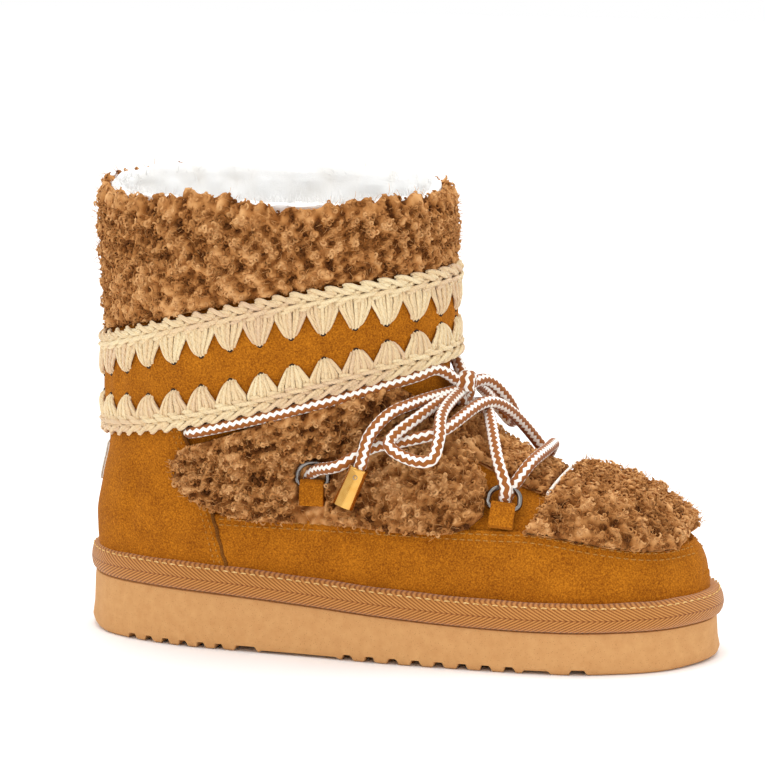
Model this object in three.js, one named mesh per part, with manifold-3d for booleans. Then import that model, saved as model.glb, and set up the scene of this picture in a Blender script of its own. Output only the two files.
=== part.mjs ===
// Mukluk boot for the right foot: suede foot, curly sheepskin cuff and panels, a suede ankle band
// with crochet edges, a taped rand, a foam wedge sole, and a round cord tied in a bow.
// Millimetres. +X points to the toe, +Y to the inner side of the foot, +Z up.
// The origin is on the floor, in the middle of the flat pad under the back of the heel.
import * as THREE from "three";
import { mergeVertices } from "three/addons/utils/BufferGeometryUtils.js";
import Module from "manifold-3d";

const wasm = await Module();
wasm.setup();

// Driving sizes
const footLength = 265; // outsole, heel end to toe end
const ballWidth = 97; // outsole across the ball of the foot
const collarHeight = 186; // floor to the edge of the collar
const heelThickness = 24.4; // sole under the heel
const foreThickness = 17.3; // sole under the forefoot
const heelPad = 18; // heel end to the middle of the flat pad under the heel
const soleDraft = 1.7; // the sole's foot stands this far outside its top edge
const soleEdgeRound = 2.6; // rounding of the sole's lower edge
const heelLift = 1.9; // rise of the sole's bottom at its back edge
const heelLiftEnd = 0.045; // share of the foot length where that rise ends and the flat pad starts
const toeLift = 0.8; // rise of the sole's bottom at the toe
const archLift = 1.2; // relief of the sole between heel and forefoot
const grooveDepth = 2.6; // tread grooves
const ledge = 4; // the upper stands this far inside the sole's edge
const wall = 3; // suede with the skin of its lining
const footFlare = 0.24; // the foot widens this much per millimetre of height
const footFlareFrom = 10; // above this height over the sole
const tuckBlend = 3; // softness of that limit
const clearance = 0.3; // between pieces that meet on a curve
const insoleThickness = 6;
const randHeight = 11.2; // taped band round the foot of the upper
const randBulge = 3.3; // how far the rand stands outside the sole's top edge
const guardThickness = 1.2; // suede side panel round the forefoot
const guardHeight = 57; // its stitched upper edge, above the floor
const guardToeDrop = 8.5; // how much lower that edge is at the toe
const counterThickness = 1.6; // suede heel counter
const patchWidth = 22; // bare patch on the back of the heel
const patchThickness = 1;
const cuffDepth = 5.9; // sheepskin round the shaft
const panelDepth = 6.4; // sheepskin panels on the foot
const lockRise = 2.7; // crowns of the curls over the hollows between them
const bandThickness = 2; // suede ankle band
const trimWidth = 6; // crochet chain along each edge of the band
const trimDepth = 5.4; // chain, measured from the shaft
const fanLength = { low: 9.6, high: 12 }; // stitches that fan out over the band
const fanCount = 30;
const laceDiameter = 5;
const ringWidth = 15; // D-ring, outside
const ringReach = 8; // D-ring above its tab
const ringWire = 2.2;
const tabWidth = 10;
const tabHeight = 11;
const tabDepth = 4.4;
const tipDiameter = 8; // metal cord end
const tipLength = 17;
const tipWall = 0.9;

const deg = Math.PI / 180;
const clamp = (x, low, high) => Math.min(high, Math.max(low, x));
const mix = (a, b, t) => a + (b - a) * t;
function ease(t) {
  const u = clamp(t, 0, 1);
  return u * u * (3 - 2 * u);
}
const along = (share) => share * footLength - heelPad;
const height = (share) => share * collarHeight;

// A smooth curve through points (xs, ys) that never overshoots them.
function curve(xs, ys) {
  const last = xs.length - 1;
  const rise = xs.slice(1).map((x, i) => (ys[i + 1] - ys[i]) / (x - xs[i]));
  const slope = ys.map((_, i) => {
    if (i === 0) return rise[0];
    if (i === last) return rise[last - 1];
    if (rise[i - 1] * rise[i] <= 0) return 0;
    const before = xs[i] - xs[i - 1];
    const after = xs[i + 1] - xs[i];
    const weight = 3 * (before + after);
    return weight / ((2 * after + before) / rise[i - 1] + (after + 2 * before) / rise[i]);
  });
  return (x) => {
    const at = clamp(x, xs[0], xs[last]);
    let i = 0;
    while (i < last - 1 && at > xs[i + 1]) i += 1;
    const span = xs[i + 1] - xs[i];
    const t = (at - xs[i]) / span;
    const u = 1 - t;
    return (
      ys[i] * u * u * (1 + 2 * t) +
      ys[i + 1] * t * t * (3 - 2 * t) +
      span * t * u * (slope[i] * u - slope[i + 1] * t)
    );
  };
}

// Outline of the sole: half widths as shares of the ball width, along as a share of the foot length.
const soleOutline = [
  { along: 0, lateral: 0, medial: 0 },
  { along: 0.015, lateral: 0.144, medial: 0.144 },
  { along: 0.05, lateral: 0.258, medial: 0.258 },
  { along: 0.11, lateral: 0.345, medial: 0.34 },
  { along: 0.2, lateral: 0.41, medial: 0.4 },
  { along: 0.28, lateral: 0.43, medial: 0.405 },
  { along: 0.4, lateral: 0.455, medial: 0.41 },
  { along: 0.52, lateral: 0.488, medial: 0.442 },
  { along: 0.64, lateral: 0.499, medial: 0.462 },
  { along: 0.72, lateral: 0.5, medial: 0.475 },
  { along: 0.8, lateral: 0.485, medial: 0.468 },
  { along: 0.88, lateral: 0.418, medial: 0.412 },
  { along: 0.94, lateral: 0.32, medial: 0.328 },
  { along: 0.98, lateral: 0.18, medial: 0.2 },
  { along: 1, lateral: 0, medial: 0 },
];
// The turn runs from 0 at the heel end to a half turn at the toe, so both ends come out round.
const turnOf = (share) => Math.acos(1 - 2 * clamp(share, 0, 1));
const outlineTurns = soleOutline.map((row) => turnOf(row.along));
const soleHalf = {
  lateral: curve(outlineTurns, soleOutline.map((row) => row.lateral * ballWidth)),
  medial: curve(outlineTurns, soleOutline.map((row) => row.medial * ballWidth)),
};

// The wedge: top of the sole at a place along the foot.
function soleTop(x) {
  const share = (x + heelPad) / footLength;
  return mix(heelThickness, foreThickness, ease((share - 0.1) / 0.645));
}

// Half width of the upper where it meets the sole: the sole's outline drawn in by the ledge.
function upperHalf(share, side) {
  const grow = footLength / (footLength - 2 * ledge);
  const narrow = (ballWidth - 2 * ledge) / ballWidth;
  return soleHalf[side](turnOf(0.5 + (share - 0.5) * grow)) * narrow;
}

// Upright sections of the foot, from the toe back: ridge height as a share of the collar height.
const footSections = [
  { along: 0.98, ridge: 0.19, base: 0.09, overPower: 2.4, underPower: 2.6 },
  { along: 0.977, ridge: 0.212, base: 0.07, overPower: 2.4, underPower: 3 },
  { along: 0.97, ridge: 0.233, base: 0.05, overPower: 2.4, underPower: 3.6 },
  { along: 0.953, ridge: 0.259, base: 0.045, overPower: 2.4, underPower: 4 },
  { along: 0.932, ridge: 0.292, base: 0.04, overPower: 2.5, underPower: 4.5 },
  { along: 0.898, ridge: 0.323, base: 0.04, overPower: 2.6, underPower: 4.5 },
  { along: 0.856, ridge: 0.35, base: 0.04, overPower: 2.6, underPower: 4.5 },
  { along: 0.8, ridge: 0.369, base: 0.04, overPower: 2.6, underPower: 4.5 },
  { along: 0.74, ridge: 0.388, base: 0.04, overPower: 2.5, underPower: 4.5 },
  { along: 0.68, ridge: 0.425, base: 0.04, overPower: 2.4, underPower: 4.5 },
];
// Sections that fan round the heel and stand up into the shaft, each from its front (over) to its
// back (under). Heights are shares of the collar height, half widths of the ball width.
const shaftSections = [
  { over: [0.615, 0.487], under: [0.51, 0.04], lateral: 0.445, medial: 0.4, widest: 0.33, overPower: 2.3, underPower: 4.2 },
  { over: [0.592, 0.522], under: [0.37, 0.04], lateral: 0.43, medial: 0.385, widest: 0.34, overPower: 2.15, underPower: 3.6 },
  { over: [0.583, 0.548], under: [0.2, 0.045], lateral: 0.418, medial: 0.38, widest: 0.37, overPower: 2.1, underPower: 3.1 },
  { over: [0.58, 0.57], under: [0.07, 0.075], lateral: 0.412, medial: 0.385, widest: 0.43, overPower: 2, underPower: 2.7 },
  { over: [0.578, 0.591], under: [0.021, 0.16], lateral: 0.412, medial: 0.392, widest: 0.46, overPower: 2, underPower: 2.5 },
  { over: [0.577, 0.613], under: [0.0145, 0.258], lateral: 0.42, medial: 0.404, widest: 0.49, overPower: 2, underPower: 2.4 },
  { over: [0.577, 0.632], under: [0.024, 0.349], lateral: 0.43, medial: 0.418, widest: 0.5, overPower: 2, underPower: 2.3 },
  { over: [0.577, 0.651], under: [0.036, 0.441], lateral: 0.445, medial: 0.438, widest: 0.5, overPower: 2, underPower: 2.2 },
  { over: [0.577, 0.737], under: [0.03, 0.538], lateral: 0.47, medial: 0.464, widest: 0.5, overPower: 2, underPower: 2.1 },
  { over: [0.575, 0.823], under: [0.032, 0.64], lateral: 0.485, medial: 0.48, widest: 0.5, overPower: 2, underPower: 2.05 },
  { over: [0.57, 0.892], under: [0.036, 0.78], lateral: 0.49, medial: 0.485, widest: 0.5, overPower: 2, underPower: 2 },
  { over: [0.565, 0.955], under: [0.036, 0.905], lateral: 0.49, medial: 0.485, widest: 0.5, overPower: 2, underPower: 2 },
  { over: [0.562, 1], under: [0.034, 1], lateral: 0.488, medial: 0.483, widest: 0.5, overPower: 2, underPower: 2 },
  { over: [0.56, 1.08], under: [0.033, 1.08], lateral: 0.485, medial: 0.48, widest: 0.5, overPower: 2, underPower: 2 },
];
const footWidest = 0.34; // height share at which an upright section is widest

const lastRows = [
  ...footSections.map((row) => ({
    overX: along(row.along),
    overZ: height(row.ridge),
    underX: along(row.along),
    underZ: height(row.base),
    lateral: Math.max(upperHalf(row.along, "lateral"), 3),
    medial: Math.max(upperHalf(row.along, "medial"), 3),
    widest: footWidest,
    overPower: row.overPower,
    underPower: row.underPower,
  })),
  ...shaftSections.map((row) => ({
    overX: along(row.over[0]),
    overZ: height(row.over[1]),
    underX: along(row.under[0]),
    underZ: height(row.under[1]),
    lateral: row.lateral * ballWidth,
    medial: row.medial * ballWidth,
    widest: row.widest,
    overPower: row.overPower,
    underPower: row.underPower,
  })),
];
const firstShaftRow = footSections.length;
const bandLow = firstShaftRow + 7; // section at the ankle band's lower edge
const bandHigh = firstShaftRow + 9; // section at its upper edge
const collar = firstShaftRow + 12; // section at the collar
const aboveCollar = firstShaftRow + 13;
const tuckedRows = firstShaftRow + 7; // the sections below the ankle band follow the sole

// A section between two rows, so that every face keeps to the upper's own facets.
function sectionAt(s) {
  const i = clamp(Math.floor(s), 0, aboveCollar - 1);
  const [before, after] = [lastRows[i], lastRows[i + 1]];
  return Object.fromEntries(
    Object.keys(before).map((key) => [key, mix(before[key], after[key], s - i)]),
  );
}

// Draws a point in towards the sole's outline near the sole, and less and less above it.
function tuck(point, out) {
  const side = point.y < 0 ? "lateral" : "medial";
  const share = (point.x + heelPad) / footLength;
  const inner = (soleHalf[side](turnOf(share)) * (ballWidth - 2 * ledge)) / ballWidth - 1;
  const rise = Math.max(0, point.z - soleTop(point.x) - footFlareFrom);
  const limit = inner + out + footFlare * rise;
  const near = Math.max(tuckBlend - Math.abs(Math.abs(point.y) - limit), 0) / tuckBlend;
  const half = Math.min(Math.abs(point.y), limit) - (near * near * tuckBlend) / 4;
  point.y = Math.sign(point.y) * Math.max(half, 0);
  return point;
}

// A point of the upper's outer face, or of a face `out` millimetres outside it. The angle is 0 on
// the ridge or the shaft's front and half a turn underneath or at the back; it turns to the
// outer side of the foot first.
function skinPoint(s, angle, out = 0) {
  const c = sectionAt(s);
  const toe = ease((c.overX - along(0.8)) / (0.185 * footLength));
  const side = Math.sin(angle);
  const power = Math.cos(angle) >= 0 ? c.overPower : c.underPower;
  const lift = Math.abs(Math.cos(angle)) ** (2 / power);
  const share = Math.cos(angle) >= 0 ? mix(c.widest, 1, lift) : c.widest * (1 - lift);
  const chord = new THREE.Vector2(c.overX - c.underX, c.overZ - c.underZ);
  const reach = (chord.length() + 2 * out) / chord.length();
  const from = 0.5 + (share - 0.5) * reach;
  const middle = (c.medial - c.lateral) / 2;
  const half = (c.medial + c.lateral) / 2 + out * (1 - toe);
  const point = new THREE.Vector3(
    c.underX + chord.x * from + out * toe,
    middle - Math.sign(side) * half * Math.abs(side) ** (2 / power),
    c.underZ + chord.y * from,
  );
  return s < tuckedRows ? tuck(point, out) : point;
}

function skinNormal(s, angle) {
  const step = 0.02;
  const ds = skinPoint(s + step, angle).sub(skinPoint(s - step, angle));
  const da = skinPoint(s, angle + step).sub(skinPoint(s, angle - step));
  return ds.cross(da).normalize();
}

// The section that passes through a place in the side view, and how far up its chord that is.
function sectionThrough(x, z) {
  let low = 0;
  let high = aboveCollar;
  for (let i = 0; i < 40; i += 1) {
    const s = (low + high) / 2;
    const c = sectionAt(s);
    const turn = (c.overX - c.underX) * (z - c.underZ) - (c.overZ - c.underZ) * (x - c.underX);
    if (turn > 0) low = s;
    else high = s;
  }
  const s = (low + high) / 2;
  const c = sectionAt(s);
  const chord = new THREE.Vector2(c.overX - c.underX, c.overZ - c.underZ);
  const share = new THREE.Vector2(x - c.underX, z - c.underZ).dot(chord) / chord.lengthSq();
  return { s, share };
}

// Section and angle at (x, z) in the side view, on the face `out` millimetres outside the upper.
function sideSpot(x, z, side, out = 0) {
  const { s, share } = sectionThrough(x, z);
  const c = sectionAt(s);
  const chord = new THREE.Vector2(c.overX - c.underX, c.overZ - c.underZ).length();
  const from = 0.5 + ((share - 0.5) * chord) / (chord + 2 * out);
  const over = from >= c.widest;
  const lift = clamp(over ? (from - c.widest) / (1 - c.widest) : 1 - from / c.widest, 0, 1);
  const turn = Math.acos(lift ** ((over ? c.overPower : c.underPower) / 2));
  return { s, angle: (over ? turn : Math.PI - turn) * (side === "lateral" ? 1 : -1) };
}

// Place and outward direction of the upper's outer face at (x, z) in the side view.
function sideSkin(x, z, side) {
  const { s, angle } = sideSpot(x, z, side);
  return { point: skinPoint(s, angle), normal: skinNormal(s, angle) };
}

// Geometry from rows of points. Rings are closed loops of equal length; the ends are closed by
// rungs between matching points, or the last ring joins the first.
function loft(rings, joined = false) {
  const n = rings[0].length;
  const positions = rings.flat().flatMap((p) => [p.x, p.y, p.z]);
  const index = [];
  const quad = (a, b, c, d) => index.push(a, b, c, a, c, d);
  const spans = joined ? rings.length : rings.length - 1;
  for (let i = 0; i < spans; i += 1) {
    const next = (i + 1) % rings.length;
    for (let j = 0; j < n; j += 1) {
      const k = (j + 1) % n;
      quad(i * n + j, i * n + k, next * n + k, next * n + j);
    }
  }
  if (!joined) {
    const end = (rings.length - 1) * n;
    for (let j = 0; j < n / 2; j += 1) {
      const [a, b, c, d] = [j, j + 1, n - 1 - j, (n - j) % n];
      index.push(a, c, b, end + a, end + b, end + c);
      if (j > 0) index.push(a, d, c, end + a, end + c, end + d);
    }
  }
  const geometry = new THREE.BufferGeometry();
  geometry.setAttribute("position", new THREE.Float32BufferAttribute(positions, 3));
  geometry.setIndex(index);
  return geometry;
}

function solid(geometry) {
  const bare = geometry.index ? geometry.toNonIndexed() : geometry.clone();
  bare.deleteAttribute("normal");
  bare.deleteAttribute("uv");
  const merged = mergeVertices(bare, 1e-4);
  const triVerts = new Uint32Array(merged.index.array);
  const vertProperties = merged.attributes.position.array;
  let made = new wasm.Manifold(new wasm.Mesh({ numProp: 3, vertProperties, triVerts }));
  if (made.volume() < 0) {
    for (let i = 0; i < triVerts.length; i += 3) {
      [triVerts[i + 1], triVerts[i + 2]] = [triVerts[i + 2], triVerts[i + 1]];
    }
    made = new wasm.Manifold(new wasm.Mesh({ numProp: 3, vertProperties, triVerts }));
  }
  return made;
}

function geometryOf(made) {
  const mesh = made.getMesh();
  const positions = [];
  for (let i = 0; i < mesh.numVert; i += 1) {
    const at = i * mesh.numProp;
    positions.push(...mesh.vertProperties.subarray(at, at + 3));
  }
  const geometry = new THREE.BufferGeometry();
  geometry.setAttribute("position", new THREE.Float32BufferAttribute(positions, 3));
  geometry.setIndex([...mesh.triVerts]);
  return geometry;
}

// The largest body of a cut solid, without the crumbs that a cut can leave.
function largest(made) {
  return made.decompose().sort((a, b) => b.volume() - a.volume())[0];
}

// A prism across the whole boot, standing on a closed outline in the side view. `from` and `to`
// are its ends across the boot.
function sidePrism(points, from = -ballWidth, to = ballWidth) {
  const shape = new THREE.Shape(points.map(([x, z]) => new THREE.Vector2(x, z)));
  const geometry = new THREE.ExtrudeGeometry(shape, { depth: to - from, bevelEnabled: false });
  return solid(geometry.rotateX(Math.PI / 2).translate(0, to, 0));
}

function evenly(count, from = 0, to = 1) {
  return Array.from({ length: count }, (_, i) => mix(from, to, i / (count - 1)));
}

const sectionPoints = 22;
const insidePoints = 14; // faces inside the wall can be coarser
const lasts = new Map();

// The last's solid, `out` millimetres outside the upper's outer face, a ring to each section.
function lastSolid(out) {
  if (!lasts.has(out)) {
    const rings = evenly(aboveCollar + 1, 0, aboveCollar).map((s) =>
      evenly((out < 0 ? insidePoints : sectionPoints) + 1, 0, 2 * Math.PI)
        .slice(0, -1)
        .map((angle) => skinPoint(s, angle, out)),
    );
    lasts.set(out, solid(loft(rings)));
  }
  return lasts.get(out);
}

// Everything below the top of the sole, raised by a clearance.
function belowSole(lift) {
  const line = evenly(24, -0.1, 1.1).map((share) => [along(share), soleTop(along(share)) + lift]);
  return sidePrism([...line, [along(1.1), -collarHeight], [along(-0.1), -collarHeight]]);
}

const outlineSteps = 21;
// Closed outline of the sole, grown by `grow`, as points with their outward direction.
function outlinePoints(grow = 0) {
  const turns = evenly(outlineSteps + 1, 0, Math.PI);
  const place = (turn, side) => {
    const y = soleHalf[side](turn) * (side === "lateral" ? -1 : 1);
    return new THREE.Vector2(along((1 - Math.cos(turn)) / 2), y);
  };
  const lateral = turns.map((turn) => place(turn, "lateral"));
  const medial = turns.slice(1, -1).reverse().map((turn) => place(turn, "medial"));
  const loop = [...lateral, ...medial];
  return loop.map((point, i) => {
    const before = loop[(i + loop.length - 1) % loop.length];
    const after = loop[(i + 1) % loop.length];
    const way = after.clone().sub(before).normalize();
    const outward = new THREE.Vector2(way.y, -way.x);
    return { point: point.clone().addScaledVector(outward, grow), outward };
  });
}

// Tread: grooves across the sole, from the heel forward. Places are shares of the foot length.
const heelGrooves = { first: 0.096, pitch: 0.0305, count: 6, width: 4.6 };
const foreGrooves = { first: 0.4605, pitch: 0.0369, count: 8, width: 5.4 };
const heelStep = { middle: 0.293, width: 11 };
const toeStep = { middle: 0.76, width: 12.5 };
const lastGroove = { middle: 0.823, width: 8 };
const shank = { from: 0.313, to: 0.448 };

function outsole() {
  const rings = [
    { grow: soleDraft - soleEdgeRound * 0.8, rise: 0 },
    { grow: soleDraft - soleEdgeRound * 0.2, rise: soleEdgeRound * 0.35 },
    { grow: soleDraft, rise: soleEdgeRound },
    { grow: 0, rise: null },
  ].map(({ grow, rise }) =>
    outlinePoints(grow).map(({ point }) => {
      const share = (point.x + heelPad) / footLength;
      const back = clamp(1 - share / heelLiftEnd, 0, 1) ** 2 * heelLift;
      const front = clamp((share - 0.92) / 0.08, 0, 1) ** 2 * toeLift;
      const z = rise === null ? soleTop(point.x) : rise + back + front;
      return new THREE.Vector3(point.x, point.y, z);
    }),
  );
  let made = solid(loft(rings));
  const channel = (middle, width, depth) => {
    const half = width / 2;
    const shoulder = half * 0.62;
    return sidePrism([
      [middle - half, -1],
      [middle + half, -1],
      [middle + half, 0],
      [middle + shoulder, depth],
      [middle - shoulder, depth],
      [middle - half, 0],
    ]);
  };
  const grooves = [
    [heelStep.middle, heelStep.width, grooveDepth],
    [toeStep.middle, toeStep.width, grooveDepth * 0.6],
    [lastGroove.middle, lastGroove.width, grooveDepth * 0.8],
    [(shank.from + shank.to) / 2, (shank.to - shank.from) * footLength, archLift],
  ];
  for (const row of [heelGrooves, foreGrooves]) {
    for (let i = 0; i < row.count; i += 1) {
      grooves.push([row.first + i * row.pitch, row.width, grooveDepth]);
    }
  }
  for (const [share, width, depth] of grooves) {
    made = made.subtract(channel(along(share), width, depth));
  }
  return made;
}

function upper() {
  const shell = lastSolid(0).subtract(lastSolid(-wall)).subtract(aboveSection(collar, 0));
  return largest(shell.subtract(belowSole(clearance)));
}

function insole() {
  const slab = lastSolid(-wall - clearance).intersect(belowSole(clearance + insoleThickness));
  return largest(slab.subtract(belowSole(clearance)));
}

// Seam of the heel counter in the side view, from the sole up, as shares.
const counterSeam = [
  { along: 0.262, height: 0.1 },
  { along: 0.258, height: 0.18 },
  { along: 0.243, height: 0.28 },
  { along: 0.226, height: 0.365 },
  { along: 0.205, height: 0.44 },
  { along: 0.185, height: 0.51 },
];
const seamLine = (shift) =>
  counterSeam.map((row) => [along(row.along) + shift, height(row.height)]);

function counter(grow = 0) {
  const outline = [
    ...seamLine(grow),
    [along(-0.1), height(counterSeam.at(-1).height)],
    [along(-0.1), height(counterSeam[0].height)],
  ];
  const shell = lastSolid(clearance + counterThickness + grow).subtract(lastSolid(grow ? 0 : clearance));
  const line = evenly(16, Math.PI, 0).map((angle) => {
    const point = skinPoint(bandSpot("low", angle, grow - 3 * clearance), angle);
    return [point.x, point.z];
  });
  const [first, last] = [line[0], line.at(-1)];
  const above = [[last[0], 2 * collarHeight], [first[0] - 20, 2 * collarHeight], [first[0] - 20, first[1] - 5]];
  const cut = shell.intersect(sidePrism(outline)).subtract(sidePrism([...line, ...above]));
  return largest(grow ? cut : cut.subtract(belowSole(clearance)));
}

// Everything above a section's plane, moved up by `lift`.
function aboveSection(s, lift) {
  const c = sectionAt(s);
  const way = new THREE.Vector2(c.overX - c.underX, c.overZ - c.underZ).normalize();
  const far = footLength;
  const [x, z] = [c.underX, c.underZ + lift];
  return sidePrism([
    [x - way.x * far, z - way.y * far],
    [x + way.x * far, z + way.y * far],
    [x + way.x * far, z + way.y * far + far],
    [x - way.x * far, z - way.y * far + far],
  ]);
}

// Height of the guard's stitched edge along the foot.
function guardEdge(x) {
  const share = (x + heelPad) / footLength;
  return guardHeight - guardToeDrop * ease((share - 0.72) / 0.24);
}

function guard() {
  const edge = evenly(16, 0.15, 1.05).map((share) => [along(share), guardEdge(along(share))]);
  const outline = [...edge, [along(1.05), 0], [along(0.15), 0]];
  const shell = lastSolid(clearance + guardThickness).subtract(lastSolid(clearance));
  const heel = sidePrism([
    ...seamLine(clearance),
    [along(-0.1), height(counterSeam.at(-1).height)],
    [along(-0.1), 0],
    [along(counterSeam[0].along) + clearance, 0],
  ]);
  return largest(shell.intersect(sidePrism(outline)).subtract(heel).subtract(belowSole(clearance)));
}

// Cross section of the rand: out from the sole's top edge, and up from the sole.
const randSection = [
  { out: -2.6, up: 0 },
  { out: 0.15, up: 0 },
  { out: 0.8, up: 0.16 },
  { out: 1, up: 0.42 },
  { out: 0.8, up: 0.7 },
  { out: 0.2, up: 0.93 },
  { out: -2.6, up: 1 },
];

function rand() {
  const rings = outlinePoints().map(({ point, outward }) =>
    randSection.map(({ out, up }) => {
      const share = (point.x + heelPad) / footLength;
      const bulge = randBulge * mix(0.6, 1, ease(share / 0.25));
      const place = point.clone().addScaledVector(outward, out * (out > 0 ? bulge : randBulge));
      return new THREE.Vector3(place.x, place.y, soleTop(point.x) + clearance + up * randHeight);
    }),
  );
  const ring = solid(loft(rings, true));
  const inside = lastSolid(2 * clearance + guardThickness);
  return largest(ring.subtract(inside).subtract(counter(clearance)));
}

// Rise of the curls at a crossing of the grid: crowns on every other crossing, none alike.
function lock(i, j) {
  const chance = Math.abs(Math.sin(i * 12.9898 + j * 78.233) * 43758.5453) % 1;
  const crown = (i + j) % 2 === 0 ? 1 : 0;
  return lockRise * (crown * (0.7 + 0.6 * chance) - 0.25 * chance);
}

// A closed solid on a grid of base points: `base[i][j]` has a point and a normal, and `depth`
// gives the pile's depth there.
function pile(base, stand, depth) {
  const rings = base.map((row, i) => {
    const outer = row.map(({ point, normal }, j) =>
      point.clone().addScaledVector(normal, stand + depth(i, j)),
    );
    const inner = row.map(({ point, normal }) => point.clone().addScaledVector(normal, stand));
    return [...outer, ...inner.reverse()];
  });
  return solid(loft(rings));
}

// Depth of a panel's pile: full inside, falling in a round edge towards its border.
function roundedDepth(i, j, rows, columns, full) {
  const edge = Math.min(i, j, rows - 1 - i, columns - 1 - j);
  if (edge === 0) return full * 0.3;
  return full * (edge === 1 ? 0.82 : 1) + lock(i, j);
}

// Sheepskin quarter panel in the side view: its lower and upper edge at places along the foot.
const quarterEdges = [
  { along: 0.178, low: 0.385, high: 0.42 },
  { along: 0.2, low: 0.35, high: 0.455 },
  { along: 0.225, low: 0.327, high: 0.462 },
  { along: 0.27, low: 0.305, high: 0.479 },
  { along: 0.33, low: 0.296, high: 0.503 },
  { along: 0.45, low: 0.296, high: 0.549 },
  { along: 0.5, low: 0.29, high: 0.565 },
  { along: 0.54, low: 0.287, high: 0.52 },
  { along: 0.6, low: 0.288, high: 0.46 },
  { along: 0.64, low: 0.3, high: 0.42 },
  { along: 0.668, low: 0.33, high: 0.38 },
];
const quarterPlaces = quarterEdges.map((row) => row.along);
const quarterLow = curve(quarterPlaces, quarterEdges.map((row) => row.low));
const quarterHigh = curve(quarterPlaces, quarterEdges.map((row) => row.high));
const quarterRows = 15;
const quarterColumns = 6;
const panelStand = 2 * clearance + guardThickness + 0.25; // past the guard's facets

function quarter(side) {
  const base = evenly(quarterRows, quarterPlaces[0], quarterPlaces.at(-1)).map((place) =>
    evenly(quarterColumns).map((t) =>
      sideSkin(along(place), height(mix(quarterLow(place), quarterHigh(place), t)), side),
    ),
  );
  const depth = (i, j) => roundedDepth(i, j, quarterRows, quarterColumns, panelDepth);
  let made = pile(base, panelStand, depth);
  for (const name of ["rear", "front"]) made = made.subtract(tabRoom(name, side));
  made = made.subtract(counter(clearance));
  return largest(made);
}

const toeBack = { side: 0.733, ridge: 0.768 }; // back edge of the toe panel
const toeFront = 0.944;
const toeSpread = 0.96; // how far down the sides the toe panel reaches, as a share of the guard's edge
const toeRows = 10;
const toeColumns = 11;

function toeCap() {
  const base = evenly(toeRows).map((t) =>
    evenly(toeColumns, -1, 1).map((w) => {
      const back = mix(toeBack.ridge, toeBack.side, w * w);
      const x = along(mix(back, toeFront, 1 - (1 - t) ** 1.35));
      const { s, angle: spread } = sideSpot(x, guardEdge(x) * toeSpread, "lateral");
      const angle = -w * spread;
      return { point: skinPoint(s, angle), normal: skinNormal(s, angle) };
    }),
  );
  const depth = (i, j) => roundedDepth(i, j, toeRows, toeColumns, panelDepth);
  return largest(pile(base, panelStand, depth));
}

const tongueSpan = { low: 0.752, half: 18.5 }; // its lower end along the foot, and half its width
const tongueTop = firstShaftRow + 1.3; // section at its upper end, below the knot
const tongueDepth = 4.6;
const tongueRows = 8;
const tongueColumns = 6;

function tongue() {
  const low = sectionThrough(along(tongueSpan.low), height(0.3)).s;
  const base = evenly(tongueRows, low, tongueTop).map((s) => {
    const c = sectionAt(s);
    const half = Math.asin(clamp(tongueSpan.half / ((c.lateral + c.medial) / 2), 0, 0.6));
    return evenly(tongueColumns, -1, 1).map((w) => {
      const angle = -w * half;
      return { point: skinPoint(s, angle), normal: skinNormal(s, angle) };
    });
  });
  const depth = (i, j) => roundedDepth(i, j, tongueRows, tongueColumns, tongueDepth);
  return largest(pile(base, clearance + 0.1, depth));
}

// The band's edges rise and fall round the shaft: millimetres off the level of their section.
const bandShift = {
  low: { front: -1, side: -0.8, back: 3.8 },
  high: { front: 3.5, side: 9.9, back: 6.6 },
};

// The section at which the last, at this angle, is z high.
function levelAt(z, angle) {
  let low = firstShaftRow + 1;
  let high = aboveCollar;
  for (let i = 0; i < 30; i += 1) {
    const s = (low + high) / 2;
    if (skinPoint(s, angle).z < z) low = s;
    else high = s;
  }
  return (low + high) / 2;
}

// The section at `rise` millimetres above one edge of the band.
function bandSpot(edge, angle, rise = 0) {
  const { front, side, back } = bandShift[edge];
  const lean = Math.cos(angle);
  const shift = mix(side, lean > 0 ? front : back, lean * lean);
  const start = skinPoint(edge === "low" ? bandLow : bandHigh, angle).z;
  return levelAt(start + shift + rise, angle);
}

// Angles at equal steps round the band.
function evenTurns(count) {
  const fine = evenly(1441, 0, 2 * Math.PI);
  const places = fine.map((angle) => skinPoint(bandLow + 1, angle));
  const lengths = [0];
  for (let i = 1; i < fine.length; i += 1) {
    lengths.push(lengths[i - 1] + places[i].distanceTo(places[i - 1]));
  }
  return Array.from({ length: count }, (_, k) => {
    const wanted = (lengths.at(-1) * k) / count;
    const i = Math.max(1, lengths.findIndex((length) => length >= wanted));
    const t = (wanted - lengths[i - 1]) / (lengths[i] - lengths[i - 1]);
    return mix(fine[i - 1], fine[i], t);
  });
}

const cuffTurns = 46;
const cuffSwell = [0.2, 0.55, 0.75, 0.9, 1, 0.95, 0.4]; // depth of the pile, from its lower edge up
const cuffRollOver = 0.3; // sections above the collar that the pile stands up to

function cuff() {
  const high = collar + cuffRollOver;
  const rings = evenly(cuffTurns + 1, 0, 2 * Math.PI)
    .slice(0, -1)
    .map((angle, i) => {
      const low = bandSpot("high", angle, 2);
      const outer = evenly(cuffSwell.length, low, high).map((s, j) => {
        const depth = cuffDepth * cuffSwell[j] + lock(i, j) * Math.min(1, cuffSwell[j] + 0.2);
        return skinPoint(s, angle).addScaledVector(skinNormal(s, angle), clearance + depth);
      });
      const inner = [collar, (collar + low) / 2, low].map((s) => skinPoint(s, angle, clearance));
      return [...outer, ...inner];
    });
  return solid(loft(rings, true));
}

const bandTurns = 40;

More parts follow.
